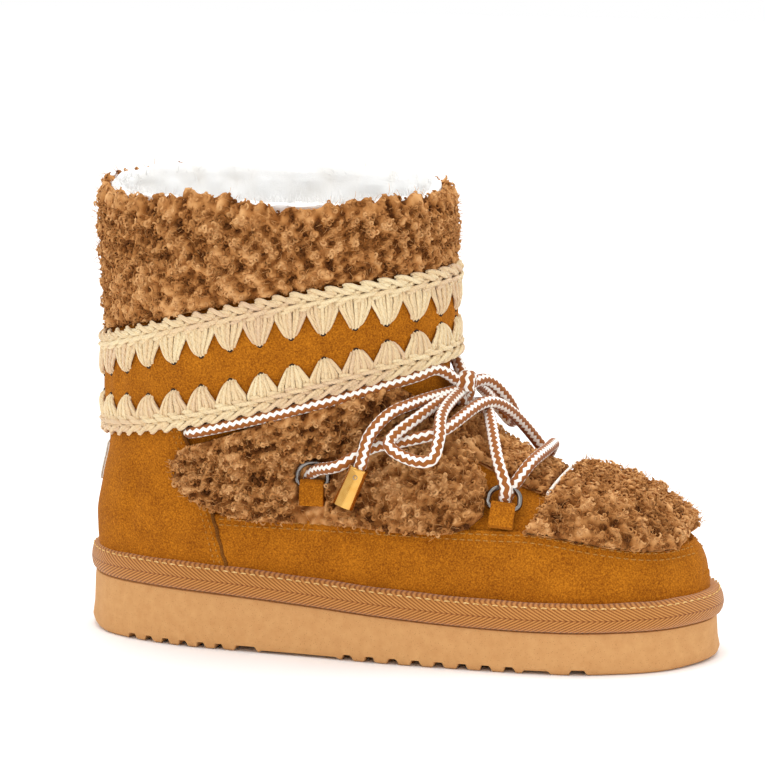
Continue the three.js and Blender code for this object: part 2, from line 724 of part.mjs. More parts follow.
// The ankle band between its two crochet edges.
function band() {
  const rings = evenly(bandTurns + 1, 0, 2 * Math.PI)
    .slice(0, -1)
    .map((angle) => {
      const edges = [bandSpot("low", angle, trimWidth), bandSpot("high", angle, -trimWidth)];
      const places = [edges[0], bandLow + 1, edges[1]];
      const outer = places.map((s) => skinPoint(s, angle, clearance + bandThickness));
      const inner = places.map((s) => skinPoint(s, angle, clearance)).reverse();
      return [...outer, ...inner];
    });
  return solid(loft(rings, true));
}

// A crochet edge: a fat chain beside the band, and stitches that fan out over its face.
function trim(edge) {
  const up = edge === "low" ? 1 : -1; // from the edge towards the band's middle
  const samples = 2;
  const onBand = clearance + bandThickness + clearance;
  const rings = evenTurns(fanCount * samples).map((angle, i) => {
    const tip = i % samples === 0 ? 1 : 0.42;
    const bump = i % samples === 0 ? 1 : 0.82;
    const section = [
      { mm: trimWidth - clearance, out: clearance },
      { mm: 0, out: clearance },
      { mm: 0.4, out: trimDepth * 0.8 * bump },
      { mm: trimWidth * 0.7, out: trimDepth * bump },
      { mm: trimWidth + fanLength[edge] * tip * 0.4, out: onBand + 2.4 },
      { mm: trimWidth + fanLength[edge] * tip, out: onBand + 0.3 },
      { mm: trimWidth - clearance, out: onBand },
    ];
    return section.map(({ mm, out }) => skinPoint(bandSpot(edge, angle, mm * up), angle, out));
  });
  return solid(loft(rings, true));
}

function heelPatch() {
  const span = { low: 0.335, high: 0.425 };
  const outward = clearance + counterThickness + clearance + 0.25;
  const base = evenly(5, span.low, span.high).map((share) => {
    const z = height(share);
    const { s } = sectionThrough(along(0.02), z);
    const half = patchWidth / 2;
    return evenly(7, -1, 1).map((w) => {
      let angle = Math.PI;
      for (let i = 0; i < 30; i += 1) {
        if (Math.abs(skinPoint(s, angle).y) < Math.abs(w) * half) angle -= 0.02 * Math.sign(w || 1);
      }
      return { point: skinPoint(s, angle), normal: skinNormal(s, angle) };
    });
  });
  return largest(pile(base, outward, () => patchThickness));
}

// Where each D-ring's tab is sewn on, in the side view: its foot, as shares.
const ringPlaces = {
  rear: { along: 0.399, height: 0.335 },
  front: { along: 0.695, height: (guardHeight - 0.8) / collarHeight },
};

// The frame of a D-ring: x along the foot, y up the side of the upper, z outwards.
function ringFrame(name, side) {
  const { along: share, height: rise } = ringPlaces[name];
  const foot = sideSkin(along(share), height(rise), side);
  const head = sideSkin(along(share), height(rise) + tabHeight, side);
  const up = head.point.clone().sub(foot.point).normalize();
  const out = foot.normal.clone().add(head.normal).normalize();
  const forward = new THREE.Vector3().crossVectors(up, out).normalize();
  if (forward.x < 0) forward.negate();
  const outward = new THREE.Vector3().crossVectors(forward, up).normalize();
  if (outward.dot(out) < 0) outward.negate();
  const origin = foot.point.clone().addScaledVector(outward, panelStand + tabDepth / 2);
  return new THREE.Matrix4().makeBasis(forward, up, outward).setPosition(origin);
}

function placed(geometry, name, side) {
  return solid(geometry.applyMatrix4(ringFrame(name, side)));
}

// Room that a tab and its ring need in the pile.
function tabRoom(name, side) {
  const width = ringWidth + 1.6;
  const [low, high] = [-14, tabHeight + ringReach + 1];
  const box = new THREE.BoxGeometry(width, high - low, 30).translate(0, (low + high) / 2, 12);
  return placed(box, name, side);
}

const barHeight = tabHeight - tabDepth / 2; // the ring's straight bar, up from the tab's foot

// The tab: a strip folded round the ring's bar.
function tab(name, side) {
  const half = tabDepth / 2;
  const shape = new THREE.Shape();
  shape.moveTo(-half, 0);
  shape.lineTo(half * 0.4, 0);
  shape.lineTo(half, barHeight * 0.5);
  shape.lineTo(half, barHeight);
  shape.absarc(0, barHeight, half, 0, Math.PI, false);
  shape.lineTo(-half, 0);
  const hole = new THREE.Path();
  hole.absarc(0, barHeight, ringWire / 2 + clearance, 0, 2 * Math.PI, true);
  shape.holes.push(hole);
  const strip = new THREE.ExtrudeGeometry(shape, {
    depth: tabWidth,
    bevelEnabled: false,
    curveSegments: 4,
  });
  strip.translate(0, 0, -tabWidth / 2).rotateY(-Math.PI / 2);
  return placed(strip, name, side);
}

// The ring: a straight bar through the tab and a round bow above it.
function ring(name, side) {
  const half = (ringWidth - ringWire) / 2;
  const top = ringReach + tabDepth / 2 - ringWire / 2;
  const corners = [
    [-half, 0],
    [half, 0],
    [half, top * 0.4],
    [half * 0.72, top * 0.86],
    [0, top],
    [-half * 0.72, top * 0.86],
    [-half, top * 0.4],
  ];
  const n = corners.length;
  const rings = corners.map(([x, y], i) => {
    const before = new THREE.Vector2(...corners[(i + n - 1) % n]);
    const after = new THREE.Vector2(...corners[(i + 1) % n]);
    const here = new THREE.Vector2(x, y);
    const into = here.clone().sub(before).normalize();
    const outOf = after.clone().sub(here).normalize();
    const bend = into.clone().add(outOf).normalize();
    const across = new THREE.Vector2(bend.y, -bend.x);
    const stretch = 1 / Math.max(0.5, across.dot(new THREE.Vector2(into.y, -into.x)));
    return evenly(7, 0, 2 * Math.PI)
      .slice(0, -1)
      .map((turn) => {
        const r = (ringWire / 2) * stretch;
        const place = here.clone().addScaledVector(across, Math.cos(turn) * r);
        return new THREE.Vector3(place.x, barHeight + place.y, (Math.sin(turn) * ringWire) / 2);
      });
  });
  return placed(loft(rings, true), name, side);
}

// A round cord through points, with flat ends.
function cord(points, samples, radius = laceDiameter / 2) {
  const line = new THREE.CatmullRomCurve3(points, false, "centripetal");
  const frames = line.computeFrenetFrames(samples, false);
  const rings = evenly(samples + 1).map((t, i) =>
    evenly(cordSides + 1, 0, 2 * Math.PI)
      .slice(0, -1)
      .map((turn) =>
        line
          .getPointAt(t)
          .addScaledVector(frames.normals[i], Math.cos(turn) * radius)
          .addScaledVector(frames.binormals[i], Math.sin(turn) * radius),
      ),
  );
  return solid(loft(rings));
}

// Points at places in the side view, each with its stand-off from the upper.
function sidePath(rows, side) {
  return rows.map(({ along: share, height: rise, out }) => {
    const { s, angle } = sideSpot(along(share), height(rise), side, out);
    return skinPoint(s, angle, out);
  });
}

const cordSides = 7;
const laceRadius = laceDiameter / 2;
const crown = 1.3 * lockRise; // the highest curls
const onTongue = clearance + tongueDepth + crown + laceRadius + clearance;
const onQuarter = panelStand + panelDepth + crown + laceRadius + clearance;
const onRing = panelStand + tabDepth / 2 + ringWire / 2 + laceRadius + clearance;

// A crossing comes forward out of a rear ring, over the quarter and the tongue, and down to the
// front ring of the other side. Places in the side view; the last two are on the other side.
const crossingPlaces = [
  { along: 0.42, height: 0.405, out: onRing + 4.2 },
  { along: 0.452, height: 0.44, out: onQuarter + 1.6 },
  { along: 0.5, height: 0.478, out: onQuarter + 0.8 },
  { along: 0.545, height: 0.492, out: onQuarter + 0.6 },
  { along: 0.595, height: 0.51, out: onQuarter },
];
const crossingLanding = [
  { along: 0.685, height: 0.445, out: onRing + 3.2 },
  { along: 0.703, height: 0.412, out: onRing + 0.6 },
];
const overRidge = { section: firstShaftRow - 0.35, out: onTongue };

function crossing(side, step) {
  const other = side === "lateral" ? "medial" : "lateral";
  const lift = (rows) => rows.map((row) => ({ ...row, out: row.out + step * 0.25 }));
  const line = [
    ...sidePath(lift(crossingPlaces), side),
    skinPoint(overRidge.section, 0, overRidge.out + step),
    ...sidePath(crossingLanding, other),
  ];
  return cord(line, 12);
}

// The bar between the two front rings.
const barRidge = { section: firstShaftRow - 1.9, out: onTongue };

function bar() {
  const line = [
    ...sidePath(crossingLanding.slice(1), "lateral"),
    ...sidePath([{ along: 0.722, height: 0.43, out: onTongue }], "lateral"),
    skinPoint(barRidge.section, 0, barRidge.out),
    ...sidePath([{ along: 0.722, height: 0.43, out: onTongue }], "medial"),
    ...sidePath(crossingLanding.slice(1), "medial"),
  ];
  return cord(line, 10);
}

const knotPlace = { along: 0.603, height: 0.574, across: -1 };
const knotSize = { along: 12, across: 14, height: 14 };
const knotMiddle = new THREE.Vector3(
  along(knotPlace.along),
  knotPlace.across,
  height(knotPlace.height),
);

// The knot: a lump with one turn of the cord drawn round it.
function knot(grow = 0) {
  const lump = new THREE.SphereGeometry(1, 10, 6);
  lump.scale(knotSize.along / 2 + grow, knotSize.across / 2 + grow, knotSize.height / 2 + grow);
  lump.translate(...knotMiddle.toArray());
  return solid(lump);
}

// The cord that comes out of the upper and runs under the band to the knot.
const runStart = 0.344; // share of the band's length, from the back
const runDrop = 3.2; // middle of the cord below the band's edge

function run(side) {
  const c = sectionAt(bandLow);
  const sign = side === "lateral" ? 1 : -1;
  const first = Math.PI - Math.acos((1 - runStart / c.widest) ** (c.underPower / 2));
  const points = evenly(9, first, 0.34).map((angle) => {
    return skinPoint(bandSpot("low", angle, -runDrop), sign * angle, clearance + laceRadius + 0.4);
  });
  return cord([...points, knotMiddle], 12).subtract(knot(clearance + 1.2));
}

// Bow and ends, in the side view: the outer side's hang over the quarter, the inner side's loop
// stands forward over the tongue.
const lateralLoop = [
  { along: 0.598, height: 0.545, out: 19 },
  { along: 0.607, height: 0.505, out: onQuarter + 9.6 },
  { along: 0.6, height: 0.466, out: onQuarter + 9.6 },
  { along: 0.569, height: 0.464, out: onQuarter + 9.6 },
  { along: 0.531, height: 0.492, out: onQuarter + 9.6 },
  { along: 0.567, height: 0.545, out: 16 },
];
const medialLoop = [
  { along: 0.622, height: 0.58, across: 15 },
  { along: 0.643, height: 0.532, across: 27 },
  { along: 0.65, height: 0.478, across: 37 },
  { along: 0.637, height: 0.46, across: 44 },
  { along: 0.611, height: 0.5, across: 44 },
  { along: 0.598, height: 0.56, across: 26 },
];
const laceEnd = [
  { along: 0.548, height: 0.565, out: 13 },
  { along: 0.521, height: 0.548, out: onQuarter + 4 },
  { along: 0.499, height: 0.505, out: onQuarter + 8 },
  { along: 0.487, height: 0.44, out: onQuarter + 6.4 },
];
const endPlace = { along: 0.462, height: 0.351, out: onQuarter + 3 }; // open end of the tip
const endSamples = 9;
const tipGrip = 5; // cord inside the tip

function loop(side) {
  const places =
    side === "lateral"
      ? sidePath(lateralLoop, side)
      : medialLoop.map((row) => new THREE.Vector3(along(row.along), row.across, height(row.height)));
  const line = [knotMiddle, ...places, knotMiddle];
  return cord(line.slice(0, 5), 7).add(cord(line.slice(4), 6));
}

// The tip's line: its upper end and its open lower end.
function tipLine(side) {
  const top = sidePath([laceEnd.at(-1)], side)[0];
  const toward = sidePath([endPlace], side)[0].sub(top).normalize();
  return { top, foot: top.clone().addScaledVector(toward, tipLength), toward };
}

function end(side) {
  const { top, toward } = tipLine(side);
  const before = sidePath(laceEnd.slice(0, -1), side);
  const inside = top.clone().addScaledVector(toward, tipGrip);
  const lead = top.clone().addScaledVector(toward, -2);
  const line = [knotMiddle, ...before, lead, top, inside];
  return cord(line, endSamples);
}

// Knot, loops and ends, drawn tight into one another.
function bow() {
  const sides = ["lateral", "medial"];
  return sides.reduce((made, side) => made.add(loop(side)).add(end(side)), knot());
}

// The metal tip, a tube that widens a little to its open foot.
function tip(side) {
  const { top, toward } = tipLine(side);
  const r = tipDiameter / 2;
  const profile = [
    [r - tipWall, 0],
    [r, 0],
    [r * 1.08, -tipLength],
    [r * 1.08 - tipWall, -tipLength],
    [r - tipWall, 0],
  ].map(([x, y]) => new THREE.Vector2(x, y));
  const tube = new THREE.LatheGeometry(profile, 10);
  const turn = new THREE.Quaternion().setFromUnitVectors(new THREE.Vector3(0, -1, 0), toward);
  return solid(tube.applyQuaternion(turn).translate(...top.toArray()));
}

// Materials
const finish = (color, roughness, metalness = 0) =>
  new THREE.MeshStandardMaterial({ color, roughness, metalness });
const suede = finish("#a96a1f", 0.95);
const curls = finish("#9a6637", 1);
const crochet = finish("#dcbd8c", 0.95);
const foam = finish("#cf9f63", 0.85);
const tape = finish("#a9713a", 0.9);
const skin = finish("#b98450", 0.95);
const wool = finish("#efe6d8", 1);
const patchLeather = finish("#cdc4b6", 0.7);
const steel = finish("#8b8b8b", 0.3, 1);
const gold = finish("#e0b169", 0.2, 1);
const braid = finish("#b98a63", 0.85);

const boot = new THREE.Group();
function add(name, made, material) {
  const mesh = new THREE.Mesh(geometryOf(made), material);
  mesh.name = name;
  boot.add(mesh);
}

add("outsole", outsole(), foam);
add("rand", rand(), tape);
add("insole", insole(), wool);
add("upper", upper(), skin);
add("side_guard", guard(), suede);
add("heel_counter", counter(), suede);
add("heel_patch", heelPatch(), patchLeather);
add("fur_cuff", cuff(), curls);
add("fur_tongue", tongue(), curls);
add("fur_toe", toeCap(), curls);
for (const side of ["lateral", "medial"]) {
  add(`fur_quarter_${side}`, quarter(side), curls);
  for (const name of ["rear", "front"]) {
    add(`tab_${name}_${side}`, tab(name, side), suede);
    add(`ring_${name}_${side}`, ring(name, side), steel);
  }
}
add("ankle_band", band(), suede);
add("trim_low", trim("low"), crochet);
add("trim_high", trim("high"), crochet);
const upperCrossing = crossing("lateral", laceDiameter * 0.85);
add("lace_crossings", upperCrossing.add(crossing("medial", 0)).add(bar()), braid);
add("lace_bow", bow(), braid);
for (const side of ["lateral", "medial"]) {
  add(`lace_run_${side}`, run(side), braid);
  add(`lace_tip_${side}`, tip(side), gold);
}

export default boot;
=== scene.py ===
# %% [markdown]
# # Mukluk boot, dressed
# This notebook takes the plain solids of a short winter boot and gives each one its real look: suede,
# curly sheepskin, crochet, woven tape, foam, braided cord and metal. It draws nothing that moves, for
# every piece of a boot is soft or sewn down. Sizes are millimetres until a mesh is made, and the
# frame is the part's own: +X to the toe, +Y to the inner side of the foot, +Z up.

import math

import bmesh
import bpy
import numpy as np
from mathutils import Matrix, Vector


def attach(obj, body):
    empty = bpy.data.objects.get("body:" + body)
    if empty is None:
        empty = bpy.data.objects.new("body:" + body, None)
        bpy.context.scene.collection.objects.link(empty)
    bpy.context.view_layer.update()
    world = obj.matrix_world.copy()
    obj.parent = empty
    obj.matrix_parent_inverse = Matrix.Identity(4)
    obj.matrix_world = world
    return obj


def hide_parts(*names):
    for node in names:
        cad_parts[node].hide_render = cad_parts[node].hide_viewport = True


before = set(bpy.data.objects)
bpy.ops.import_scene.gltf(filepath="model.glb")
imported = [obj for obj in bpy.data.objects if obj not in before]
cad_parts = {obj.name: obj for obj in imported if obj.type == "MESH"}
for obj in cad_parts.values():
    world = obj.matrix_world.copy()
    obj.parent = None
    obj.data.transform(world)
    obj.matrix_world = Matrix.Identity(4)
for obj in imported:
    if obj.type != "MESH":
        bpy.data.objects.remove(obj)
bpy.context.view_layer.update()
mm = 0.001
sides_of_foot = ((True, "lateral"), (False, "medial"))

# %% [markdown]
# ## Camera
# The photograph is a product shot through a long lens, from the outer side of a right boot, 15 degrees
# round towards the toe and 10.5 degrees up. Its lines barely converge, so the camera stands far off.
# A long lens is better than an orthographic camera here, for the little convergence that there is
# also sets how much of the far rim shows. The small shift frames the boot as the photograph does.

# %% Camera at the photograph's angle
turn, rise, distance, focal = math.radians(14.902), math.radians(10.5), 1649.3, 3984.2
frame_wide, frame_high = 765, 779
centre = (395.44, 412.72)  # pixel that the lens looks at
target = Vector((112, 0, 95))
back = Vector((math.sin(turn) * math.cos(rise), -math.cos(turn) * math.cos(rise), math.sin(rise)))
lens = bpy.data.cameras.new("photo_camera")
lens.sensor_width = 36
lens.lens = 36 * focal / frame_high
lens.shift_x = (frame_wide / 2 - centre[0]) / frame_high
lens.shift_y = (centre[1] - frame_high / 2) / frame_high
lens.clip_start, lens.clip_end = 0.1, 20
camera = bpy.data.objects.new("photo_camera", lens)
bpy.context.scene.collection.objects.link(camera)
camera.matrix_world = back.to_track_quat("Z", "Y").to_matrix().to_4x4()
camera.location = (target + back * distance) * mm
# A product photograph on white has plain sRGB colours, so no tone curve is laid over them.
bpy.context.scene.view_settings.view_transform = "Standard"
bpy.context.scene.camera = camera
print("lens", round(lens.lens, 1), "mm")

# %% [markdown]
# ## The last
# A boot is drawn over a last, the wooden foot that it is made on. Here the last is a fan of sections:
# upright ones through the toes, then ones that turn about the instep until they lie level in the
# shaft. Each has a front end (over), a back end (under) and half widths. The CAD part has the same
# rows with flat facets between them; here a smooth curve runs through the rows, so that every piece
# can be laid on one soft surface at its own height above it.

# %% Driving sizes, as in the part
foot_length, ball_width, collar_height, heel_pad = 265, 97, 186, 18
heel_thick, fore_thick, ledge, clearance = 24.4, 17.3, 4, 0.3


def mix(a, b, t):
    return a + (b - a) * t


def ease(t):
    u = np.clip(t, 0, 1)
    return u * u * (3 - 2 * u)


def along(share):
    return np.asarray(share) * foot_length - heel_pad


def smooth(xs, ys, at):
    """A curve through points that never overshoots them."""
    xs, ys, at = np.asarray(xs, float), np.asarray(ys, float), np.asarray(at, float)
    step = np.diff(xs)
    rise = np.diff(ys) / step
    slope = np.zeros(len(xs))
    slope[0], slope[-1] = rise[0], rise[-1]
    keep = rise[:-1] * rise[1:] > 0
    a, b = step[:-1], step[1:]
    with np.errstate(divide="ignore", invalid="ignore"):
        bend = 3 * (a + b) / ((2 * b + a) / rise[:-1] + (b + 2 * a) / rise[1:])
    slope[1:-1] = np.where(keep, bend, 0)
    x = np.clip(at, xs[0], xs[-1])
    i = np.clip(np.searchsorted(xs, x, side="right") - 1, 0, len(xs) - 2)
    t = (x - xs[i]) / step[i]
    u = 1 - t
    ends = ys[i] * u * u * (1 + 2 * t) + ys[i + 1] * t * t * (3 - 2 * t)
    return ends + step[i] * t * u * (slope[i] * u - slope[i + 1] * t)


# %% Outline of the sole
outline_along = [0, 0.015, 0.05, 0.11, 0.2, 0.28, 0.4, 0.52, 0.64, 0.72, 0.8, 0.88, 0.94, 0.98, 1]
outline_lateral = [0, 0.144, 0.258, 0.345, 0.41, 0.43, 0.455, 0.488, 0.499, 0.5, 0.485, 0.418, 0.32, 0.18, 0]
outline_medial = [0, 0.144, 0.258, 0.34, 0.4, 0.405, 0.41, 0.442, 0.462, 0.475, 0.468, 0.412, 0.328, 0.2, 0]


def turn_of(share):
    return np.arccos(1 - 2 * np.clip(share, 0, 1))


outline_turns = turn_of(np.array(outline_along))


def sole_half(turns, lateral):
    """Half width of the sole; lateral is true on the outer side of the foot."""
    outer = smooth(outline_turns, np.array(outline_lateral) * ball_width, turns)
    inner = smooth(outline_turns, np.array(outline_medial) * ball_width, turns)
    return np.where(lateral, outer, inner)


def sole_top(x):
    share = (np.asarray(x) + heel_pad) / foot_length
    return mix(heel_thick, fore_thick, ease((share - 0.1) / 0.645))


# %% Rows of the last, from the toe back and up the shaft
foot_rows = [
    (0.98, 0.19, 0.09, 2.4, 2.6), (0.977, 0.212, 0.07, 2.4, 3), (0.97, 0.233, 0.05, 2.4, 3.6),
    (0.953, 0.259, 0.045, 2.4, 4), (0.932, 0.292, 0.04, 2.5, 4.5), (0.898, 0.323, 0.04, 2.6, 4.5),
    (0.856, 0.35, 0.04, 2.6, 4.5), (0.8, 0.369, 0.04, 2.6, 4.5), (0.74, 0.388, 0.04, 2.5, 4.5),
    (0.68, 0.425, 0.04, 2.4, 4.5),
]  # fmt: skip
shaft_rows = [
    (0.615, 0.487, 0.51, 0.04, 0.445, 0.4, 0.33, 2.3, 4.2), (0.592, 0.522, 0.37, 0.04, 0.43, 0.385, 0.34, 2.15, 3.6),
    (0.583, 0.548, 0.2, 0.045, 0.418, 0.38, 0.37, 2.1, 3.1), (0.58, 0.57, 0.07, 0.075, 0.412, 0.385, 0.43, 2, 2.7),
    (0.578, 0.591, 0.021, 0.16, 0.412, 0.392, 0.46, 2, 2.5), (0.577, 0.613, 0.0145, 0.258, 0.42, 0.404, 0.49, 2, 2.4),
    (0.577, 0.632, 0.024, 0.349, 0.43, 0.418, 0.5, 2, 2.3), (0.577, 0.651, 0.036, 0.441, 0.445, 0.438, 0.5, 2, 2.2),
    (0.577, 0.737, 0.03, 0.538, 0.47, 0.464, 0.5, 2, 2.1), (0.575, 0.823, 0.032, 0.64, 0.485, 0.48, 0.5, 2, 2.05),
    (0.57, 0.892, 0.036, 0.78, 0.49, 0.485, 0.5, 2, 2), (0.565, 0.955, 0.036, 0.905, 0.49, 0.485, 0.5, 2, 2),
    (0.562, 1, 0.034, 1, 0.488, 0.483, 0.5, 2, 2), (0.56, 1.08, 0.033, 1.08, 0.485, 0.48, 0.5, 2, 2),
]  # fmt: skip
rows = []
for share, ridge, base, over_power, under_power in foot_rows:
    turns = turn_of(0.5 + (share - 0.5) * foot_length / (foot_length - 2 * ledge))
    narrow = (ball_width - 2 * ledge) / ball_width
    halves = [max(float(sole_half(turns, side)) * narrow, 3) for side in (True, False)]
    x = float(along(share))
    rows.append([x, ridge * collar_height, x, base * collar_height, *halves, 0.34, over_power, under_power])
for ox, oz, ux, uz, lateral, medial, widest, over_power, under_power in shaft_rows:
    rows.append([float(along(ox)), oz * collar_height, float(along(ux)), uz * collar_height,
                 lateral * ball_width, medial * ball_width, widest, over_power, under_power])  # fmt: skip
rows = np.array(rows)
shaft_row, band_low, band_high, collar, last_row = 10, 17, 19, 22, 23
fine_s = np.linspace(0, last_row, 2301)
table = np.array([smooth(np.arange(len(rows)), rows[:, k], fine_s) for k in range(9)])
print("last of", len(rows), "sections")


def section(s):
    return [np.interp(s, fine_s, column) for column in table]


def skin(s, angle, out=0.0):
    """A point of the last, out millimetres outside it: 0 is the ridge, half a turn is the back."""
    s, angle, out = np.broadcast_arrays(np.asarray(s, float), np.asarray(angle, float), np.asarray(out, float))
    ox, oz, ux, uz, lateral, medial, widest, over_power, under_power = section(s)
    toe = ease((ox - along(0.8)) / (0.185 * foot_length))
    side, up = np.sin(angle), np.cos(angle)
    power = np.where(up >= 0, over_power, under_power)
    lift = np.abs(up) ** (2 / power)
    share = np.where(up >= 0, mix(widest, 1, lift), widest * (1 - lift))
    cx, cz = ox - ux, oz - uz
    chord = np.hypot(cx, cz)
    start = 0.5 + (share - 0.5) * (chord + 2 * out) / chord
    half = (medial + lateral) / 2 + out * (1 - toe)
    x = ux + cx * start + out * toe
    y = (medial - lateral) / 2 - np.sign(side) * half * np.abs(side) ** (2 / power)
    z = uz + cz * start
    inner = sole_half(turn_of((x + heel_pad) / foot_length), y < 0) * (ball_width - 2 * ledge) / ball_width - 1
    limit = inner + out + 0.24 * np.maximum(0, z - sole_top(x) - 10)
    near = np.maximum(3 - np.abs(np.abs(y) - limit), 0) / 3
    tucked = np.maximum(np.minimum(np.abs(y), limit) - near * near * 0.75, 0)
    y = np.where(s < band_low, np.sign(y) * mix(tucked, np.abs(y), ease((s - 15) / 2)), y)
    return np.stack([x, y, z], axis=-1)


def unit(v):
    return v / np.maximum(np.linalg.norm(v, axis=-1, keepdims=True), 1e-9)


def normal(s, angle):
    step = 0.03
    ds = skin(s + step, angle) - skin(s - step, angle)
    da = skin(s, angle + step) - skin(s, angle - step)
    return unit(np.cross(ds, da))


def side_spot(x, z, lateral=True, out=0.0):
    """Section and angle at a place in the side view."""
    x, z = np.broadcast_arrays(np.asarray(x, float), np.asarray(z, float))
    low, high = np.zeros(x.shape), np.full(x.shape, float(last_row))
    for _ in range(34):
        s = (low + high) / 2
        ox, oz, ux, uz = section(s)[:4]
        above = (ox - ux) * (z - uz) - (oz - uz) * (x - ux) > 0
        low, high = np.where(above, s, low), np.where(above, high, s)
    ox, oz, ux, uz, _, _, widest, over_power, under_power = section(s)
    cx, cz = ox - ux, oz - uz
    chord = np.hypot(cx, cz)
    share = ((x - ux) * cx + (z - uz) * cz) / chord**2
    start = 0.5 + (share - 0.5) * chord / (chord + 2 * out)
    over = start >= widest
    lift = np.clip(np.where(over, (start - widest) / (1 - widest), 1 - start / widest), 0, 1)
    angle = np.arccos(lift ** (np.where(over, over_power, under_power) / 2))
    angle = np.where(over, angle, np.pi - angle)
    return s, angle if lateral else -angle


def level(z, angle, out=0.0, low=11.0):
    """The section at which the last, at this angle, is z high."""
    z, angle = np.broadcast_arrays(np.asarray(z, float), np.asarray(angle, float))
    low, high = np.full(z.shape, low), np.full(z.shape, float(last_row))
    for _ in range(30):
        s = (low + high) / 2
        under = skin(s, angle, out)[..., 2] < z
        low, high = np.where(under, s, low), np.where(under, high, s)
    return s


# %% Edges of the ankle band, which rise and fall round the shaft
band_shift = {"low": (-1, -0.8, 3.8), "high": (3.5, 9.9, 6.6)}


def band_spot(edge, angle, rise=0.0):
    """The section at a height in millimetres above one edge of the band."""
    front, side, back_shift = band_shift[edge]
    angle = np.asarray(angle, float)
    lean = np.cos(angle)
    shift = mix(side, np.where(lean > 0, front, back_shift), lean * lean)
    start = skin(float(band_low if edge == "low" else band_high), angle)[..., 2]
    return level(start + shift + rise, angle)


fine_turns = np.linspace(0, 2 * np.pi, 2881)
girth = np.concatenate([[0], np.cumsum(np.linalg.norm(np.diff(skin(band_low + 1.0, fine_turns), axis=0), axis=1))])


def turn_at(share):
    """The angle at a share of the way round the band, by length."""
    whole = np.floor(share)
    return np.interp((np.asarray(share, float) - whole) * girth[-1], girth, fine_turns) + 2 * np.pi * whole


print("band girth", round(girth[-1]), "mm")

# %% [markdown]
# ## Making a mesh
# Almost every piece is either a sheet wrapped on the last or a cord along a line. Both are grids of
# points, so one helper joins a grid's neighbours into quads. A sheet gets its own inner face and a
# rim between the two, because a real piece has a cut edge, and a mesh without one would have no
# thickness in the finished model. Numbers such as millimetres along a tape are kept at each point,
# for the materials to read.

# %% Helpers that make pieces
def add_piece(name, points, faces, values=None, crisp=None):
    """A piece of the boot from points in millimetres, with named numbers kept at each point."""
    mesh = bpy.data.meshes.new(name)
    points = np.asarray(points, float).reshape(-1, 3)
    mesh.from_pydata((points * mm).tolist(), [], faces if isinstance(faces, list) else faces.tolist())
    for key, numbers in (values or {}).items():
        layer = mesh.attributes.new(key, "FLOAT", "POINT")
        layer.data.foreach_set("value", np.asarray(numbers, np.float32).ravel())
    mesh.validate()
    mesh.shade_smooth()
    if crisp:
        mesh.set_sharp_from_angle(angle=math.radians(crisp))
    piece = bpy.data.objects.new(name, mesh)
    bpy.context.scene.collection.objects.link(piece)
    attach(piece, "root")
    return piece


def grid_quads(n, m, closed_rows=False, closed_columns=False, start=0):
    """Quads of an n by m grid of points."""
    i = np.arange(n if closed_rows else n - 1)
    j = np.arange(m if closed_columns else m - 1)
    i, j = [k.ravel() for k in np.meshgrid(i, j, indexing="ij")]
    a, b = i * m + j, i * m + (j + 1) % m
    c, d = ((i + 1) % n) * m + (j + 1) % m, ((i + 1) % n) * m + j
    return np.stack([a, d, c, b], axis=1) + start


def capped(n, m, start=0):
    """Faces of a tube of n rings of m points, with its two ends."""
    ends = [[start + k for k in range(m)][::-1], [start + (n - 1) * m + k for k in range(m)]]
    return grid_quads(n, m, False, True, start).tolist() + ends


def add_shell(name, outer, inner, closed=False, values=None, open_top=None):
    """A sheet with thickness: outer and inner grids, rows up and columns along, and its rims."""
    n, m = outer.shape[:2]
    faces = [grid_quads(n, m, False, closed), grid_quads(n, m, False, closed, n * m)[:, ::-1]]
    j = np.arange(m if closed else m - 1)
    k = (j + 1) % m
    for row, flip in ((0, False), (n - 1, True)):
        use = np.ones(len(j), bool)
        if flip and open_top is not None:
            use = ~(open_top[j] & open_top[k])
        rim = np.stack([row * m + j, row * m + k, (n + row) * m + k, (n + row) * m + j], axis=1)[use]
        faces.append(rim[:, ::-1] if flip else rim)
    if not closed:
        for column, flip in ((0, True), (m - 1, False)):
            a = np.arange(n - 1) * m + column
            rim = np.stack([a, a + m, n * m + a + m, n * m + a], axis=1)
            faces.append(rim if flip else rim[:, ::-1])
    points = np.concatenate([outer.reshape(-1, 3), inner.reshape(-1, 3)])
    doubled = {key: np.concatenate([np.ravel(v), np.ravel(v)]) for key, v in (values or {}).items()}
    return add_piece(name, points, np.concatenate(faces), doubled)


def tube_rings(line, radius, sides):
    """Rings round lines of points: line is (..., n, 3), and radius fits its points."""
    way = unit(np.gradient(line, axis=-2))
    side = unit(np.cross(way[..., 0, :], np.array([0.31, 0.52, 0.79])))  # any slanting direction does
    across = np.empty_like(line)
    for i in range(line.shape[-2]):  # carried along without twist
        side = unit(side - way[..., i, :] * np.sum(side * way[..., i, :], axis=-1, keepdims=True))
        across[..., i, :] = side
    up = np.cross(way, across)
    turns = np.linspace(0, 2 * np.pi, sides, endpoint=False)
    r = np.broadcast_to(np.asarray(radius, float), line.shape[:-1])[..., None, None]
    ring = across[..., None, :] * np.cos(turns)[:, None] + up[..., None, :] * np.sin(turns)[:, None]
    return line[..., None, :] + ring * r


def many_tubes(lines, radius, sides, numbers=None):
    """Points, faces and values of a bundle of tubes with the same number of points each."""
    count, n = lines.shape[:2]
    faces = [face for t in range(count) for face in capped(n, sides, t * n * sides)]
    values = {k: np.repeat(np.broadcast_to(v, (count, n)), sides, axis=-1) for k, v in (numbers or {}).items()}
    return tube_rings(lines, radius, sides).reshape(-1, 3), faces, values


